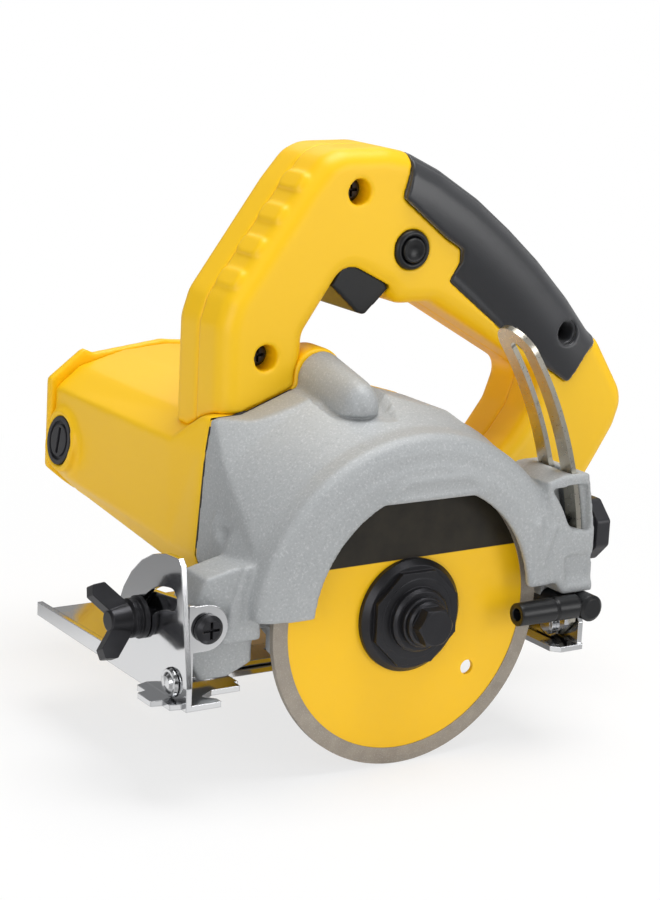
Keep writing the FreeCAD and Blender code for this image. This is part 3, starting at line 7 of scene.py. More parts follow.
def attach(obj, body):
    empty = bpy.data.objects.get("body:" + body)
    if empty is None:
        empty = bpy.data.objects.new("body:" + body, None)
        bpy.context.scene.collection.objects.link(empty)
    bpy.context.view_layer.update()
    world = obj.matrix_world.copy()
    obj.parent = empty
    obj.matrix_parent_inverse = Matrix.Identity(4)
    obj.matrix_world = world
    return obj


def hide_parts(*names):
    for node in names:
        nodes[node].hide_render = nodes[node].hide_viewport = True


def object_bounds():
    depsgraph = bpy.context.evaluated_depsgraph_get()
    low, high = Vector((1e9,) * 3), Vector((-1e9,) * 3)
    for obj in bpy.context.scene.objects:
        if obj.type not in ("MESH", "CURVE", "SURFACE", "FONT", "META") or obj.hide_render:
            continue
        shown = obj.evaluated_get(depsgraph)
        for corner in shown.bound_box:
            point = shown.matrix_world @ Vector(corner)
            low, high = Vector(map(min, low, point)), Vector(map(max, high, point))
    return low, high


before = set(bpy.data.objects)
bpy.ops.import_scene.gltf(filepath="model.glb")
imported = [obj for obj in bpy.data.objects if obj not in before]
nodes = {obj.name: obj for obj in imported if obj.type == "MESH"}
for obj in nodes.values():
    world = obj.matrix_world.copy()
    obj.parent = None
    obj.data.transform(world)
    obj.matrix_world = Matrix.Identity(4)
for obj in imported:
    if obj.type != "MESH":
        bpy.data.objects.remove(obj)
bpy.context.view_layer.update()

# Hand-held wet tile cutter: finishes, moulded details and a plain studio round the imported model.
# Metres throughout; X runs to the rear, Y from the blade into the motor, Z up.
mm = 0.001
print("frame loaded:", len(nodes), "nodes")


def linear(hexText):
    channels = [int(hexText[i:i + 2], 16) / 255 for i in (1, 3, 5)]
    return [c / 12.92 if c <= 0.04045 else ((c + 0.055) / 1.055) ** 2.4 for c in channels] + [1]


def addNode(tree, kind, settings=None, links=None):
    # links maps an input's name or number to a value, a socket or a node's first output
    node = tree.nodes.new("ShaderNode" + kind)
    for name, value in (settings or {}).items():
        setattr(node, name, value)
    for name, value in (links or {}).items():
        if isinstance(value, bpy.types.Node):
            value = value.outputs[0]
        if isinstance(value, bpy.types.NodeSocket):
            tree.links.new(value, node.inputs[name])
        else:
            node.inputs[name].default_value = value
    return node


def startMaterial(name):
    material = bpy.data.materials.new(name)
    material.use_nodes = True
    tree = material.node_tree
    tree.nodes.clear()
    return material, tree, addNode(tree, "TexCoord").outputs["Object"]


bevelSamples = {"samples": 6}
toneMix = {"data_type": "RGBA"}  # inputs 6 and 7 are its two tones, output 2 is the blend
valueMix = {"data_type": "FLOAT"}  # inputs 2 and 3 are its two values

castAlloy = {
    "tone": "#B4B7B8", "dark": "#A2A5A7", "fleck": "#C6C8C9", "pit": "#8D9093",
    "fleckShare": 0.6, "pitShare": 0.35, "roughness": 0.55, "metallic": 0.2,
    "grain": 0.8 * mm, "cloud": 30 * mm, "depth": 0.05 * mm, "edge": 1.0 * mm,
}


def sandCastAluminium():
    # grey lacquer over a sand-cast skin: matt, finely speckled, no mirror reflection
    material, tree, place = startMaterial("sandCastAluminium")
    grain = addNode(tree, "TexNoise", links={
        "Vector": place, "Scale": 1 / castAlloy["grain"], "Detail": 2, "Roughness": 0.7})
    cloud = addNode(tree, "TexNoise", links={
        "Vector": place, "Scale": 1 / castAlloy["cloud"], "Detail": 3})
    shade = addNode(tree, "MapRange", links={"Value": cloud, "To Min": 0.1, "To Max": 0.9})
    flecks = addNode(tree, "MapRange", links={
        "Value": grain, "From Min": 0.56, "From Max": 0.66, "To Max": castAlloy["fleckShare"]})
    pits = addNode(tree, "MapRange", links={
        "Value": grain, "From Min": 0.42, "From Max": 0.34, "To Max": castAlloy["pitShare"]})
    base = linear(castAlloy["tone"])
    for share, tone in ((shade, "dark"), (flecks, "fleck"), (pits, "pit")):
        base = addNode(tree, "Mix", toneMix, {
            0: share, 6: base, 7: linear(castAlloy[tone])}).outputs[2]
    edge = addNode(tree, "Bevel", bevelSamples, {"Radius": castAlloy["edge"]})
    skin = addNode(tree, "Bump", links={
        "Height": grain, "Distance": castAlloy["depth"], "Normal": edge})
    gloss = addNode(tree, "MapRange", links={
        "Value": cloud, "To Min": castAlloy["roughness"] - 0.05,
        "To Max": castAlloy["roughness"] + 0.06})
    shader = addNode(tree, "BsdfPrincipled", links={
        "Base Color": base, "Metallic": castAlloy["metallic"], "Roughness": gloss,
        "Normal": skin})
    addNode(tree, "OutputMaterial", links={"Surface": shader})
    return material


nylon = {
    "tone": "#FFCC00", "shade": "#FBC300", "shadeShare": 0.6, "roughness": 0.42, "ior": 1.5,
    "texture": 0.55 * mm, "cloud": 45 * mm, "depth": 0.02 * mm, "edge": 1.2 * mm,
}


def mouldedNylon():
    # glass-filled nylon from a spark-eroded mould: even strong yellow with a satin highlight
    material, tree, place = startMaterial("mouldedNylon")
    cloud = addNode(tree, "TexNoise", links={
        "Vector": place, "Scale": 1 / nylon["cloud"], "Detail": 2})
    texture = addNode(tree, "TexNoise", links={
        "Vector": place, "Scale": 1 / nylon["texture"], "Detail": 2, "Roughness": 0.6})
    share = addNode(tree, "MapRange", links={"Value": cloud, "To Max": nylon["shadeShare"]})
    base = addNode(tree, "Mix", toneMix, {
        0: share, 6: linear(nylon["tone"]), 7: linear(nylon["shade"])}).outputs[2]
    edge = addNode(tree, "Bevel", bevelSamples, {"Radius": nylon["edge"]})
    skin = addNode(tree, "Bump", links={
        "Height": texture, "Distance": nylon["depth"], "Normal": edge})
    gloss = addNode(tree, "MapRange", links={
        "Value": texture, "To Min": nylon["roughness"] - 0.05,
        "To Max": nylon["roughness"] + 0.07})
    shader = addNode(tree, "BsdfPrincipled", links={
        "Base Color": base, "Roughness": gloss, "IOR": nylon["ior"], "Normal": skin})
    addNode(tree, "OutputMaterial", links={"Surface": shader})
    return material


polymer = {"ior": 1.5, "cloud": 25 * mm, "paleShare": 0.7, "coatRoughness": 0.24}


def mouldedPolymer(name, tone, pale, roughness, grain, depth, edge, sheen=0.0, coat=0.0):
    # one tone drifting to a paler one, with the fine texture of the mould
    material, tree, place = startMaterial(name)
    texture = addNode(tree, "TexNoise", links={
        "Vector": place, "Scale": 1 / grain, "Detail": 2, "Roughness": 0.6})
    cloud = addNode(tree, "TexNoise", links={
        "Vector": place, "Scale": 1 / polymer["cloud"], "Detail": 3})
    share = addNode(tree, "MapRange", links={"Value": cloud, "To Max": polymer["paleShare"]})
    base = addNode(tree, "Mix", toneMix, {
        0: share, 6: linear(tone), 7: linear(pale)}).outputs[2]
    softEdge = addNode(tree, "Bevel", bevelSamples, {"Radius": edge})
    skin = addNode(tree, "Bump", links={
        "Height": texture, "Distance": depth, "Normal": softEdge})
    gloss = addNode(tree, "MapRange", links={
        "Value": texture, "To Min": roughness - 0.05, "To Max": roughness + 0.08})
    shader = addNode(tree, "BsdfPrincipled", links={
        "Base Color": base, "Roughness": gloss, "IOR": polymer["ior"], "Normal": skin,
        "Sheen Weight": sheen, "Coat Weight": coat,
        "Coat Roughness": polymer["coatRoughness"]})
    addNode(tree, "OutputMaterial", links={"Surface": shader})
    return material


def gripElastomer():
    # over-moulded thermoplastic rubber: black with a wide soft bluish sheen
    return mouldedPolymer("gripElastomer", tone="#191B20", pale="#24262D", roughness=0.38,
                          grain=0.5 * mm, depth=0.03 * mm, edge=1.0 * mm, sheen=0.3, coat=0.45)


def blackPolyamide():
    # moulded polyamide: deep black, satin, slightly sharper highlight than the rubber
    return mouldedPolymer("blackPolyamide", tone="#111214", pale="#1B1C1F", roughness=0.34,
                          grain=0.4 * mm, depth=0.012 * mm, edge=0.5 * mm)


def greyPolyamide():
    # moulded polyamide with a little grey, for the brush caps and the knob
    return mouldedPolymer("greyPolyamide", tone="#26262A", pale="#303035", roughness=0.38,
                          grain=0.4 * mm, depth=0.012 * mm, edge=0.6 * mm)


def sealRubberAndShadowBlack():
    # seal rubber: dull black; the same black paints the shadow sheet in the housing's joint
    return mouldedPolymer("sealRubberAndShadowBlack", tone="#141414", pale="#1E1E1E", roughness=0.6,
                          grain=0.5 * mm, depth=0.01 * mm, edge=0.1 * mm)


def naturalNylon():
    # unfilled nylon of the fan: milky off-white
    return mouldedPolymer("naturalNylon", tone="#E6E2D6", pale="#D8D3C4", roughness=0.4,
                          grain=0.6 * mm, depth=0.01 * mm, edge=0.3 * mm)


def pressedCarbon():
    # brush carbon: dead black with graphite glints
    return mouldedPolymer("pressedCarbon", tone="#1A1A1B", pale="#2C2C2E", roughness=0.55,
                          grain=0.3 * mm, depth=0.02 * mm, edge=0.2 * mm)


plating = {
    "tone": "#DCDDDF", "roughness": 0.09, "dent": 14 * mm, "smear": 3 * mm,
    "depth": 0.12 * mm, "dentStrength": 0.6, "edge": 0.45 * mm,
}


def platedSheetSteel():
    # bright nickel-chrome on pressed sheet: mirror with the gentle waves of the press tool
    material, tree, place = startMaterial("platedSheetSteel")
    wave = addNode(tree, "TexNoise", links={
        "Vector": place, "Scale": 1 / plating["dent"], "Detail": 1, "Roughness": 0.4})
    smear = addNode(tree, "TexNoise", links={
        "Vector": place, "Scale": 1 / plating["smear"], "Detail": 3, "Roughness": 0.6})
    edge = addNode(tree, "Bevel", bevelSamples, {"Radius": plating["edge"]})
    skin = addNode(tree, "Bump", links={
        "Height": wave, "Distance": plating["depth"], "Strength": plating["dentStrength"],
        "Normal": edge})
    gloss = addNode(tree, "MapRange", links={
        "Value": smear, "To Min": plating["roughness"] - 0.03,
        "To Max": plating["roughness"] + 0.08})
    shader = addNode(tree, "BsdfPrincipled", links={
        "Base Color": linear(plating["tone"]), "Metallic": 1.0, "Roughness": gloss,
        "Normal": skin})
    addNode(tree, "OutputMaterial", links={"Surface": shader})
    return material


turnedRings = (0.2, 4, 0.2)  # draws a metal's grain out round an axis along Y


def metal(name, tone, roughness, grain, depth, edge=0.3 * mm, metallic=1.0, stretch=(1, 1, 1)):
    # worked metal: its tool marks, and cloudy patches a few millimetres across
    material, tree, place = startMaterial(name)
    lay = addNode(tree, "Mapping", links={"Vector": place, "Scale": stretch})
    marks = addNode(tree, "TexNoise", links={
        "Vector": lay, "Scale": 1 / grain, "Detail": 3, "Roughness": 0.6})
    cloud = addNode(tree, "TexNoise", links={
        "Vector": place, "Scale": 1 / (6 * mm), "Detail": 3})
    value = addNode(tree, "MapRange", links={"Value": cloud, "To Min": 0.86, "To Max": 1.08})
    base = addNode(tree, "HueSaturation", links={"Color": linear(tone), "Value": value})
    softEdge = addNode(tree, "Bevel", bevelSamples, {"Radius": edge})
    skin = addNode(tree, "Bump", links={
        "Height": marks, "Distance": depth, "Normal": softEdge})
    gloss = addNode(tree, "MapRange", links={
        "Value": marks, "To Min": roughness - 0.07, "To Max": roughness + 0.1})
    shader = addNode(tree, "BsdfPrincipled", links={
        "Base Color": base, "Metallic": metallic, "Roughness": gloss, "Normal": skin})
    addNode(tree, "OutputMaterial", links={"Surface": shader})
    return material


def nickelPlatedSteel():
    # thin nickel on the slotted arc: warmer and less bright than the chromed base
    return metal("nickelPlatedSteel", tone="#D6D1C4", roughness=0.28, grain=1.2 * mm,
                 depth=0.002 * mm, edge=0.08 * mm)


def blackOxideSteel():
    # turned steel blackened in a hot bath: near black, oily satin, grey on its edges
    return metal("blackOxideSteel", tone="#39393C", roughness=0.36, grain=0.35 * mm,
                 depth=0.01 * mm, edge=0.45 * mm, metallic=0.75)


def zincPlatedSteel():
    # bright zinc of bought screws: pale bluish grey, slightly cloudy
    return metal("zincPlatedSteel", tone="#C3C7CC", roughness=0.25, grain=0.5 * mm,
                 depth=0.008 * mm)


def groundSteel():
    # ground journals: fine rings round the axis
    return metal("groundSteel", tone="#B7B9BC", roughness=0.24, grain=0.4 * mm,
                 depth=0.006 * mm, stretch=turnedRings)


def bearingSteel():
    # polished races and tinned shields
    return metal("bearingSteel", tone="#C9CBCE", roughness=0.16, grain=0.8 * mm,
                 depth=0.004 * mm)


def cutGearSteel():
    # hobbed, oil-hardened teeth: darker straw grey
    return metal("cutGearSteel", tone="#8E8C86", roughness=0.32, grain=0.3 * mm,
                 depth=0.01 * mm, edge=0.15 * mm)


def drawnBrass():
    # drawn brass of brush tubes: yellow and smooth
    return metal("drawnBrass", tone="#C9A35A", roughness=0.28, grain=0.5 * mm,
                 depth=0.008 * mm)


def turnedCopper():
    # commutator bars, bright where the brushes run
    return metal("turnedCopper", tone="#C77F50", roughness=0.22, grain=0.3 * mm,
                 depth=0.006 * mm, stretch=turnedRings)


lamination = {
    "pitch": 1 * mm, "depth": 0.1 * mm, "metallic": 0.85, "roughness": 0.42,
    "tones": [(0.0, "#3A3A3C"), (0.3, "#6F7073")],
}


def electricalSteel():
    # stacked half-millimetre sheets, drawn a millimetre apart so that they show
    material, tree, place = startMaterial("electricalSteel")
    axis = addNode(tree, "SeparateXYZ", links={"Vector": place}).outputs["Y"]
    layer = addNode(tree, "Math", {"operation": "MULTIPLY"}, {0: axis, 1: 1 / lamination["pitch"]})
    seam = addNode(tree, "Math", {"operation": "PINGPONG"}, {0: layer, 1: 0.5})
    base = addNode(tree, "ValToRGB", links={"Fac": seam})
    for step, (position, tone) in zip(base.color_ramp.elements, lamination["tones"]):
        step.position = position
        step.color = linear(tone)
    skin = addNode(tree, "Bump", links={"Height": seam, "Distance": lamination["depth"]})
    shader = addNode(tree, "BsdfPrincipled", links={
        "Base Color": base, "Metallic": lamination["metallic"],
        "Roughness": lamination["roughness"], "Normal": skin})
    addNode(tree, "OutputMaterial", links={"Surface": shader})
    return material


copperWire = {
    "scale": 100, "waver": 0.6,  # bands about 3.6 mm apart
    "depth": 0.2 * mm, "metallic": 0.8, "roughness": 0.3, "varnish": 0.6,
    "tones": [(0.0, "#5A2410"), (0.6, "#B5602C")],
}


def enamelledCopper():
    # enamelled wire wound in layers, drawn coarser than the wire so that they show:
    # reddish amber with a varnish gloss
    material, tree, place = startMaterial("enamelledCopper")
    wave = addNode(tree, "TexWave", {"wave_type": "BANDS", "bands_direction": "DIAGONAL"}, {
        "Vector": place, "Scale": copperWire["scale"],
        "Distortion": copperWire["waver"]}).outputs["Fac"]
    base = addNode(tree, "ValToRGB", links={"Fac": wave})
    for step, (position, tone) in zip(base.color_ramp.elements, copperWire["tones"]):
        step.position = position
        step.color = linear(tone)
    skin = addNode(tree, "Bump", links={"Height": wave, "Distance": copperWire["depth"]})
    shader = addNode(tree, "BsdfPrincipled", links={
        "Base Color": base, "Metallic": copperWire["metallic"],
        "Roughness": copperWire["roughness"], "Coat Weight": copperWire["varnish"],
        "Normal": skin})
    addNode(tree, "OutputMaterial", links={"Surface": shader})
    return material


bladeCoat = {
    "yellow": "#FFC800", "black": "#0E0E10", "steel": "#C9B27A", "worn": 0.06,
    "bandFloor": 20.2 * mm, "bandBlur": 0.15 * mm, "rise": 0.01,
    "roughness": 0.34, "ior": 1.45, "scuff": 9 * mm, "orangePeel": 1.2 * mm,
    "depth": 0.01 * mm,
}


def printedBladeLacquer():
    # screen-printed lacquer on a ground steel disc: flat yellow below, a black field above
    material, tree, place = startMaterial("printedBladeLacquer")
    parts = addNode(tree, "SeparateXYZ", links={"Vector": place})
    slope = addNode(tree, "Math", {"operation": "MULTIPLY_ADD"}, {
        0: parts.outputs["X"], 1: -bladeCoat["rise"], 2: parts.outputs["Z"]})
    above = addNode(tree, "MapRange", links={
        "Value": slope, "From Min": bladeCoat["bandFloor"] - bladeCoat["bandBlur"],
        "From Max": bladeCoat["bandFloor"] + bladeCoat["bandBlur"]})
    printed = addNode(tree, "Mix", toneMix, {
        0: above, 6: linear(bladeCoat["yellow"]), 7: linear(bladeCoat["black"])}).outputs[2]
    scuff = addNode(tree, "TexNoise", links={
        "Vector": place, "Scale": 1 / bladeCoat["scuff"], "Detail": 5, "Roughness": 0.65})
    worn = addNode(tree, "MapRange", links={"Value": scuff, "To Max": bladeCoat["worn"]})
    base = addNode(tree, "Mix", toneMix, {
        0: worn, 6: printed, 7: linear(bladeCoat["steel"])}).outputs[2]
    gloss = addNode(tree, "MapRange", links={
        "Value": scuff, "To Min": bladeCoat["roughness"] - 0.06,
        "To Max": bladeCoat["roughness"] + 0.1})
    peel = addNode(tree, "TexNoise", links={
        "Vector": place, "Scale": 1 / bladeCoat["orangePeel"], "Detail": 3})
    skin = addNode(tree, "Bump", links={"Height": peel, "Distance": bladeCoat["depth"]})
    shader = addNode(tree, "BsdfPrincipled", links={
        "Base Color": base, "Roughness": gloss, "IOR": bladeCoat["ior"], "Normal": skin})
    addNode(tree, "OutputMaterial", links={"Surface": shader})
    return material


rimBond = {
    "tone": "#B0A79B", "dark": "#8C8378", "grit": "#E0DACB", "gritShare": 0.7,
    "metallic": 0.35, "roughness": 0.5, "grain": 0.5 * mm, "cloud": 5 * mm,
    "depth": 0.08 * mm,
}


def sinteredDiamondBond():
    # sintered bronze and diamond grit, ground open: grainy brownish grey with pale points
    material, tree, place = startMaterial("sinteredDiamondBond")
    grit = addNode(tree, "TexVoronoi", links={"Vector": place, "Scale": 1 / rimBond["grain"]})
    cloud = addNode(tree, "TexNoise", links={
        "Vector": place, "Scale": 1 / rimBond["cloud"], "Detail": 4, "Roughness": 0.6})
    base = addNode(tree, "Mix", toneMix, {
        0: cloud, 6: linear(rimBond["tone"]), 7: linear(rimBond["dark"])}).outputs[2]
    points = addNode(tree, "MapRange", links={
        "Value": grit, "From Min": 0.25, "From Max": 0.1, "To Max": rimBond["gritShare"]})
    base = addNode(tree, "Mix", toneMix, {
        0: points, 6: base, 7: linear(rimBond["grit"])}).outputs[2]
    skin = addNode(tree, "Bump", links={"Height": grit, "Distance": rimBond["depth"]})
    shader = addNode(tree, "BsdfPrincipled", links={
        "Base Color": base, "Metallic": rimBond["metallic"],
        "Roughness": rimBond["roughness"], "Normal": skin})
    addNode(tree, "OutputMaterial", links={"Surface": shader})
    return material


finishes = {
    sandCastAluminium: ["gear_case", "gear_cover"],
    mouldedNylon: ["motor_housing", "end_cover", "handle_shell_left", "handle_shell_right"],
    gripElastomer: ["grip_cover"],
    blackPolyamide: ["trigger", "lock_on_button", "lock_button_bezel", "switch_module",
                     "cord_inlet", "water_cross_tube", "water_end_cap", "water_spout"],
    greyPolyamide: ["brush_cap_front", "brush_cap_rear", "depth_lock_knob"],
    sealRubberAndShadowBlack: ["spindle_seal"],
    naturalNylon: ["cooling_fan"],
    pressedCarbon: ["carbon_brush_front", "carbon_brush_rear"],
    platedSheetSteel: ["base_plate", "depth_frame", "front_pivot_rivet", "rear_pivot_rivet"],
    nickelPlatedSteel: ["depth_arc"],
    blackOxideSteel: ["bevel_wing_bolt", "inner_flange", "outer_flange", "blade_bolt",
                      "bolt_washer", "depth_pivot_screw", "handle_screws"],
    zincPlatedSteel: ["gear_cover_screws", "end_cover_screws", "gear_case_screws"],
    groundSteel: ["spindle", "armature_shaft", "brush_spring_front", "brush_spring_rear"],
    bearingSteel: ["spindle_bearing", "spindle_tail_bearing", "armature_front_bearing",
                   "armature_rear_bearing"],
    cutGearSteel: ["spindle_gear", "pinion"],
    drawnBrass: ["brush_holder_front", "brush_holder_rear"],
    electricalSteel: ["stator_core", "armature_core"],
    enamelledCopper: ["armature_winding", "field_coil_front", "field_coil_rear"],
    turnedCopper: ["commutator"],
    printedBladeLacquer: ["blade_disc"],
    sinteredDiamondBond: ["diamond_rim"],
}
made = {}
for make, members in finishes.items():
    made[make.__name__] = make()
    for member in members:
        mesh = nodes[member].data
        mesh.materials.clear()
        mesh.materials.append(made[make.__name__])
unfinished = set(nodes) - {name for members in finishes.values() for name in members}
print("finishes made:", len(made), "left over:", sorted(unfinished))

softened = {
    # node: its body and slot, the grid that rebuilds it, and how many times that is smoothed
    "gear_case": ("motor_unit", "cast_grey", 0.8 * mm, 10),
    "motor_housing": ("motor_unit", "yellow_plastic", 0.9 * mm, 22),
    "end_cover": ("motor_unit", "yellow_plastic", 0.8 * mm, 8),
    "handle_shell_left": ("motor_unit", "yellow_plastic", 0.7 * mm, 9),
    "handle_shell_right": ("motor_unit", "yellow_plastic", 0.8 * mm, 9),
    "grip_cover": ("motor_unit", "black_rubber", 0.6 * mm, 10),
    "trigger": ("trigger_unit", "black_plastic", 0.5 * mm, 8),
    "water_spout": ("motor_unit", "black_plastic", 0.35 * mm, 4),
}
skinMaking = {"weld": 0.01 * mm, "smoothing": 0.5}

castingDraft = {
    # the screw lug on the guard's crown thins towards its nose so that it leaves the mould
    "axis": (-14 * mm, 77 * mm), "reach": 13 * mm, "root": 42 * mm, "nose": 16 * mm,
    "foot": 68 * mm, "blend": 8 * mm, "sink": 5.5 * mm, "pinch": 0.2,
}


def draftLug(mesh):
    x, z = castingDraft["axis"]
    for vertex in mesh.vertices:
        point = vertex.co
        if math.hypot(point.x - x, point.z - z) > castingDraft["reach"]:
            continue
        along = (castingDraft["root"] - point.y) / (castingDraft["root"] - castingDraft["nose"])
        rise = (point.z - castingDraft["foot"]) / castingDraft["blend"]
        share = min(max(along, 0), 1) * min(max(rise, 0), 1)
        point.z -= castingDraft["sink"] * share
        point.x += (x - point.x) * castingDraft["pinch"] * share


gripCrown = {
    # the rubber swells off the flat of the handle, highest along its middle
    "edge": [(22, 155), (36, 148.5), (54, 137.5), (69, 126), (83, 114), (98, 99), (109, 86),
             (114, 80)],
    "half": 14 * mm, "rise": 2.2 * mm, "near": 44 * mm, "far": 76 * mm,
}


def crownGrip(mesh):
    points = [Vector((x * mm, 0, z * mm)) for x, z in gripCrown["edge"]]
    for vertex in mesh.vertices:
        side = -1 if vertex.co.y < gripCrown["near"] else 1
        if side > 0 and vertex.co.y < gripCrown["far"]:
            continue
        flat = Vector((vertex.co.x, 0, vertex.co.z))
        nearest = 1.0
        for first, second in zip(points, points[1:]):
            run = second - first
            share = min(max((flat - first).dot(run) / run.length_squared, 0), 1)
            nearest = min(nearest, (flat - first - run * share).length)
        off = (nearest - gripCrown["half"]) / gripCrown["half"]
        vertex.co.y += side * gripCrown["rise"] * max(0, 1 - off * off)


pinMouth = {
    # the trigger pin sits in a blind hole: the wall runs on in front of it
    "place": (-1.2 * mm, 45.1 * mm, 117.8 * mm), "radius": 2.4 * mm, "depth": 4.2 * mm,
    "steps": 24,
}


def closePinMouth(work):
    turn = Matrix.Rotation(math.radians(90), 4, "X")
    bmesh.ops.create_cone(work, cap_ends=True, segments=pinMouth["steps"],
                          radius1=pinMouth["radius"], radius2=pinMouth["radius"],
                          depth=pinMouth["depth"],
                          matrix=Matrix.Translation(pinMouth["place"]) @ turn)


lockPockets = {
    # cores of the mould in the lock's block: a deep window that follows the guard's rim and
    # a framed pane below it, as outlines of (x, z) and how far in each reaches
    "mouth": -14,
    "window": ([(54.2, 41.5), (67.5, 41.5), (70.4, 28), (68.6, 25.5), (65, 25.5), (62.8, 27.5),
                (60.6, 32), (57.8, 36.8)], 2),
    "pane": ([(62, 15.8), (72.6, 15.8), (73.5, 5.4), (63, 5.4)], -7.2),
}


def cutPocket(skin, pocket):
    # a block of the pocket's outline, taken out of the casting
    outline, deep = lockPockets[pocket]
    work = bmesh.new()
    ends = [[work.verts.new((x * mm, y * mm, z * mm)) for x, z in outline]
            for y in (lockPockets["mouth"], deep)]
    work.faces.new(ends[0])
    work.faces.new(ends[1])
    for i in range(len(outline)):
        work.faces.new([ends[0][i], ends[0][i - 1], ends[1][i - 1], ends[1][i]])
    bmesh.ops.recalc_face_normals(work, faces=work.faces)
    mesh = bpy.data.meshes.new(pocket)
    work.to_mesh(mesh)
    work.free()
    core = bpy.data.objects.new(pocket, mesh)
    bpy.context.scene.collection.objects.link(core)
    cut = skin.modifiers.new(pocket, "BOOLEAN")
    cut.operation = "DIFFERENCE"
    cut.solver = "EXACT"
    cut.object = core
    return core


def softSkin(node, body, slot, grid, passes):
    # the solid with its sharp lines drawn out into the radii that a die or a mould leaves
    source = nodes[node]
    skin = bpy.data.objects.new(node + "Skin", source.data.copy())
    skin.matrix_world = source.matrix_world.copy()
    bpy.context.scene.collection.objects.link(skin)
    work = bmesh.new()
    work.from_mesh(skin.data)
    bmesh.ops.remove_doubles(work, verts=work.verts, dist=skinMaking["weld"])
    if node == "handle_shell_left":
        closePinMouth(work)
    work.to_mesh(skin.data)
    work.free()
    cores = []
    if node == "gear_case":
        cores = [cutPocket(skin, "window"), cutPocket(skin, "pane")]
    remesh = skin.modifiers.new("grid", "REMESH")
    remesh.mode = "VOXEL"
    remesh.voxel_size = grid
    radius = skin.modifiers.new("radius", "SMOOTH")
    radius.factor = skinMaking["smoothing"]
    radius.iterations = passes
    bpy.context.view_layer.update()
    solved = skin.evaluated_get(bpy.context.evaluated_depsgraph_get())
    mesh = bpy.data.meshes.new_from_object(solved)
    mesh.name = node + "Skin"
    if node == "gear_case":
        draftLug(mesh)
    if node == "grip_cover":
        crownGrip(mesh)
    skin.modifiers.clear()
    for core in cores:
        bpy.data.objects.remove(core)
    skin.data = mesh
    for face in mesh.polygons:
        face.use_smooth = True
        face.material_index = 0
    mesh.materials.clear()
    mesh.materials.append(source.data.materials[0])
    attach(skin, body)
    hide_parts(node)
    return len(mesh.polygons)


for node, settings in softened.items():
    print("soft skin:", node, softSkin(node, *settings), "faces")


def addPiece(name, mesh, material, body):
    for face in mesh.polygons:
        face.use_smooth = True
    mesh.materials.append(made[material])
    piece = bpy.data.objects.new(name, mesh)
    bpy.context.scene.collection.objects.link(piece)
    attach(piece, body)
    return piece


def lathe(name, profile, centre, steps=72):
    # a profile of (radius, y) in millimetres turned about a line across the saw
    work = bmesh.new()
    rings = []
    for radius, y in profile:
        ring = []
        for step in range(steps if radius > 0 else 1):
            turn = 2 * math.pi * step / steps
            ring.append(work.verts.new(((centre[0] + radius * math.cos(turn)) * mm, y * mm,
                                        (centre[1] + radius * math.sin(turn)) * mm)))
        rings.append(ring)
    for first, second in zip(rings, rings[1:]):
        for step in range(steps):
            corners = [first[step % len(first)], first[(step + 1) % len(first)],
                       second[(step + 1) % len(second)], second[step % len(second)]]
            work.faces.new(list(dict.fromkeys(corners)))
    bmesh.ops.recalc_face_normals(work, faces=work.faces)
    mesh = bpy.data.meshes.new(name)
    work.to_mesh(mesh)
    work.free()
    return mesh


thumbButton = {
    # the dished button in its polished ring, on the near face of the handle
    "centre": (22.7, 120.7),
    "dish": [(0, 40.9), (1.6, 40.8), (2.8, 40.4), (3.6, 39.9), (4.15, 39.8), (4.5, 40.2),
             (4.6, 41), (4.6, 46), (0, 46)],
    "ring": [(4.75, 44.6), (4.75, 41.6), (5.1, 40.9), (5.8, 40.6), (6.6, 40.8), (7.15, 41.4),
             (7.3, 42.2), (7.3, 44.6), (4.75, 44.6)],
}
dish = addPiece("thumbButtonDish", lathe("dish", thumbButton["dish"], thumbButton["centre"]),
                "blackPolyamide", "lock_button_unit")
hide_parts("lock_on_button")
ring = addPiece("thumbButtonRing", lathe("ring", thumbButton["ring"], thumbButton["centre"]),
                "blackPolyamide", "motor_unit")
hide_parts("lock_button_bezel")

gripWell = {
    # the rubber turns into the screw well at the end of the grip
    "centre": (95, 86.5),
    "profile": [(3.7, 50.4), (3.7, 43), (3.9, 42.1), (4.4, 41.7), (4.9, 41.9), (4.9, 42.6),
                (4.62, 43.2), (4.62, 50.4), (3.7, 50.4)],
}
addPiece("gripWellLining", lathe("well", gripWell["profile"], gripWell["centre"]),
         "gripElastomer", "motor_unit")

jointShadowSheet = {
    # painted shadow: a dull black sheet set in the joint, standing in for the shade of the gap
    # between the casting and the moulded housing
    "outline": [(-62, 16.5), (-59.5, 52.5), (-57.5, 65.5), (-46, 66), (-23, 74.5), (-2, 75),
                (22, 68), (38, 52), (38, 4), (26, -5), (-40, -5), (-58, 8)],
    "middle": (-12, 33), "outer": 0.992, "inner": 0.93, "near": 41.3, "far": 42.7,
    "corner": 3 * mm, "cornerSteps": 4,
}


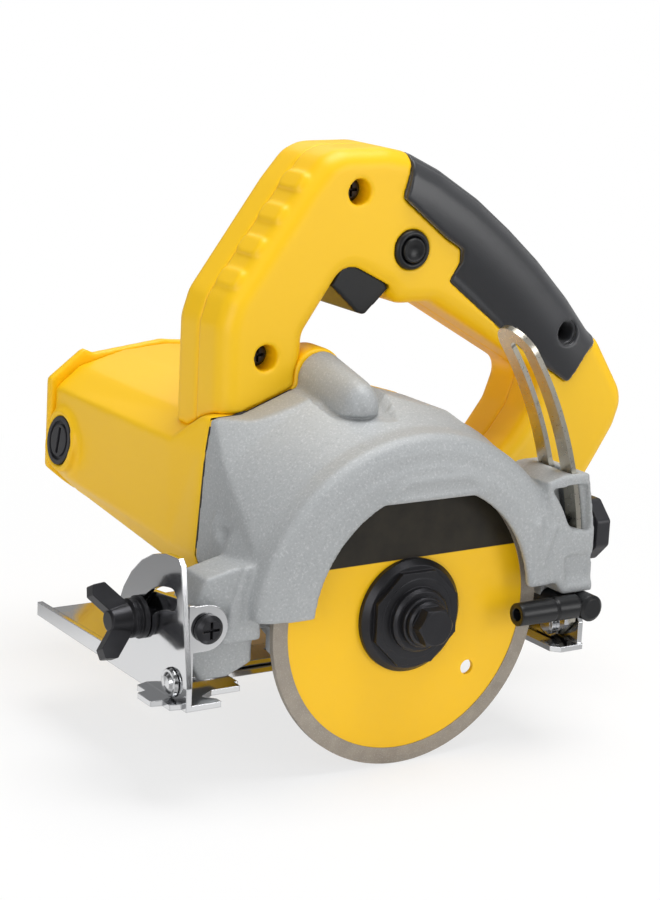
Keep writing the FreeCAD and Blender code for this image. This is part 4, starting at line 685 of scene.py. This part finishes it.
# a ring of dark sheet round the joint's outline: painted shadow in the gap between the parts
def makeJointShadowSheet():
    midX, midZ = jointShadowSheet["middle"]
    work = bmesh.new()
    loops = []
    for share, y in ((jointShadowSheet["outer"], jointShadowSheet["near"]),
                     (jointShadowSheet["outer"], jointShadowSheet["far"]),
                     (jointShadowSheet["inner"], jointShadowSheet["far"]),
                     (jointShadowSheet["inner"], jointShadowSheet["near"])):
        loops.append([work.verts.new(((midX + (x - midX) * share) * mm, y * mm,
                                      (midZ + (z - midZ) * share) * mm))
                      for x, z in jointShadowSheet["outline"]])
    count = len(jointShadowSheet["outline"])
    for first, second in zip(loops, loops[1:] + loops[:1]):
        for i in range(count):
            j = (i + 1) % count
            work.faces.new([first[i], first[j], second[j], second[i]])
    bmesh.ops.recalc_face_normals(work, faces=work.faces)
    corners = [edge for edge in work.edges
               if abs(edge.verts[0].co.y - edge.verts[1].co.y) > 1 * mm]
    bmesh.ops.bevel(work, geom=corners, offset=jointShadowSheet["corner"],
                    segments=jointShadowSheet["cornerSteps"], affect="EDGES")
    mesh = bpy.data.meshes.new("jointShadowSheet")
    work.to_mesh(mesh)
    work.free()
    # the painted shadow sheet takes the seal rubber's dull black
    addPiece("jointShadowSheet", mesh, "sealRubberAndShadowBlack", "motor_unit")


makeJointShadowSheet()
print("moulded details made")

studio = {
    "floorTone": "#F4F4F4", "floorSize": 12.0, "floorDrop": 0.2 * mm,
    # the lit floor: dimmer round the object, so that its shadow shows
    "glowEdge": (0.2, 0.5), "glowNear": 0.72,
    # the floor in reflections: pale and dark patches, and a dark card off the blade's side
    "patchSize": 180 * mm, "patchEdge": (0.42, 0.58), "patchTones": (0.2, 0.9),
    "darkCard": (0.28, -0.42, 0), "cardEdge": (0.25, 0.45), "cardTone": 0.08,
    # the room's light, and in reflections its bright cards, dimmer towards the floor
    "worldLight": 0.38, "cardSize": 0.6, "gapEdge": (0.42, 0.58), "gapTones": (0.25, 1.7),
    "liftEdge": (0.1, 0.75), "liftLow": 0.3,
    "lamps": [
        # name, place, size, watts
        ("overhead", (0.2, -0.05, 1.2), 0.8, 11.5),
        ("frontLeft", (-1.1, -0.7, 0.4), 0.7, 4.4),
        ("frontRight", (0.8, -1.2, 0.3), 0.6, 4.2),
        ("back", (0.5, 1.1, 1.0), 0.8, 1.7),
    ],
}


def paperFloorMaterial():
    # seen directly the paper is lit up to white, and it keeps the object's shadow;
    # in reflections it is uneven, with pale and dark patches a hand or two across
    material, tree, place = startMaterial("whitePaperFloor")
    ray = addNode(tree, "LightPath")
    seen = addNode(tree, "Math", {"operation": "MAXIMUM"}, {
        0: ray.outputs["Is Camera Ray"], 1: ray.outputs["Is Glossy Ray"]})
    paper = addNode(tree, "BsdfDiffuse", links={"Color": linear(studio["floorTone"])})
    clouds = addNode(tree, "TexNoise", links={
        "Vector": place, "Scale": 1 / studio["patchSize"], "Detail": 1, "Roughness": 0.4})
    patches = addNode(tree, "MapRange", links={
        "Value": clouds, "From Min": studio["patchEdge"][0], "From Max": studio["patchEdge"][1],
        "To Min": studio["patchTones"][0], "To Max": studio["patchTones"][1]})
    off = addNode(tree, "VectorMath", {"operation": "DISTANCE"}, {
        0: place, 1: studio["darkCard"]}).outputs["Value"]
    card = addNode(tree, "MapRange", links={
        "Value": off, "From Min": studio["cardEdge"][0], "From Max": studio["cardEdge"][1],
        "To Min": studio["cardTone"]})
    patches = addNode(tree, "Math", {"operation": "MULTIPLY"}, {0: patches, 1: card})
    level = addNode(tree, "Mix", valueMix, {
        0: ray.outputs["Is Glossy Ray"], 2: 1.0, 3: patches})
    glow = addNode(tree, "Emission", links={"Color": (1, 1, 1, 1), "Strength": level})
    away = addNode(tree, "VectorMath", {"operation": "LENGTH"}, {0: place}).outputs["Value"]
    lit = addNode(tree, "MapRange", links={
        "Value": away, "From Min": studio["glowEdge"][0], "From Max": studio["glowEdge"][1],
        "To Min": studio["glowNear"]})
    share = addNode(tree, "Math", {"operation": "MULTIPLY"}, {0: seen, 1: lit})
    shader = addNode(tree, "MixShader", links={"Fac": share, 1: paper, 2: glow})
    addNode(tree, "OutputMaterial", links={"Surface": shader})
    return material


def makeFloor():
    half = studio["floorSize"] / 2
    mesh = bpy.data.meshes.new("floor")
    corners = [(-half, -half, 0), (half, -half, 0), (half, half, 0), (-half, half, 0)]
    mesh.from_pydata(corners, [], [(0, 1, 2, 3)])
    mesh.materials.append(paperFloorMaterial())
    floor = bpy.data.objects.new("floor", mesh)
    floor.location.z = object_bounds()[0].z - studio["floorDrop"]
    bpy.context.scene.collection.objects.link(floor)


def makeRoom():
    # white to the eye; in reflections bright cards above, with dark gaps between them
    world = bpy.data.worlds.new("softRoom")
    world.use_nodes = True
    tree = world.node_tree
    tree.nodes.clear()
    ray = addNode(tree, "LightPath")
    seen = addNode(tree, "Math", {"operation": "MAXIMUM"}, {
        0: ray.outputs["Is Camera Ray"], 1: ray.outputs["Is Transmission Ray"]})
    aim = addNode(tree, "TexCoord").outputs["Generated"]
    height = addNode(tree, "SeparateXYZ", links={"Vector": aim}).outputs["Z"]
    lift = addNode(tree, "MapRange", links={
        "Value": height, "From Min": studio["liftEdge"][0], "From Max": studio["liftEdge"][1],
        "To Min": studio["liftLow"]})
    clouds = addNode(tree, "TexNoise", links={
        "Vector": aim, "Scale": 1 / studio["cardSize"], "Detail": 1, "Roughness": 0.4})
    gaps = addNode(tree, "MapRange", links={
        "Value": clouds, "From Min": studio["gapEdge"][0], "From Max": studio["gapEdge"][1],
        "To Min": studio["gapTones"][0], "To Max": studio["gapTones"][1]})
    cards = addNode(tree, "Math", {"operation": "MULTIPLY"}, {0: gaps, 1: lift})
    room = addNode(tree, "Mix", valueMix, {
        0: ray.outputs["Is Glossy Ray"], 2: 1.0, 3: cards})
    dim = addNode(tree, "Math", {"operation": "MULTIPLY"}, {0: room, 1: studio["worldLight"]})
    strength = addNode(tree, "Mix", valueMix, {0: seen, 2: dim, 3: 1.0})
    back = addNode(tree, "Background", links={"Color": (1, 1, 1, 1), "Strength": strength})
    addNode(tree, "OutputWorld", links={"Surface": back})
    bpy.context.scene.world = world


def makeLamps():
    for name, place, size, watts in studio["lamps"]:
        lamp = bpy.data.lights.new(name, "AREA")
        lamp.shape = "SQUARE"
        lamp.size = size
        lamp.energy = watts
        holder = bpy.data.objects.new(name, lamp)
        holder.location = place
        holder.rotation_mode = "QUATERNION"
        holder.rotation_quaternion = (-Vector(place)).to_track_quat("-Z", "Y")
        bpy.context.scene.collection.objects.link(holder)


makeFloor()
makeRoom()
makeLamps()
print("studio made")

viewpoint = {
    "turn": 32.89, "rise": 13.65, "roll": 2.84, "distance": 804.4 * mm,
    "across": -26.7 * mm, "up": 57.0 * mm, "lens": 125.45, "sensor": 36.0,
}


def makeCamera():
    # the line of sight passes the blade centre by the two offsets
    turn, rise, roll = [math.radians(viewpoint[key]) for key in ("turn", "rise", "roll")]
    back = Vector((-math.sin(turn) * math.cos(rise), -math.cos(turn) * math.cos(rise),
                   math.sin(rise)))
    right = (-back).cross(Vector((0, 0, 1))).normalized()
    up = right.cross(-back)
    rolledRight = right * math.cos(roll) + up * math.sin(roll)
    rolledUp = up * math.cos(roll) - right * math.sin(roll)
    lens = bpy.data.cameras.new("productLens")
    lens.lens = viewpoint["lens"]
    lens.sensor_fit = "HORIZONTAL"
    lens.sensor_width = viewpoint["sensor"]
    camera = bpy.data.objects.new("productLens", lens)
    place = rolledRight * viewpoint["across"] + rolledUp * viewpoint["up"]
    place += back * viewpoint["distance"]
    turnMatrix = Matrix((rolledRight, rolledUp, back)).transposed()
    camera.matrix_world = Matrix.Translation(place) @ turnMatrix.to_4x4()
    bpy.context.scene.collection.objects.link(camera)
    bpy.context.scene.camera = camera


makeCamera()
bpy.context.scene.view_settings.view_transform = "Standard"
print("camera placed")
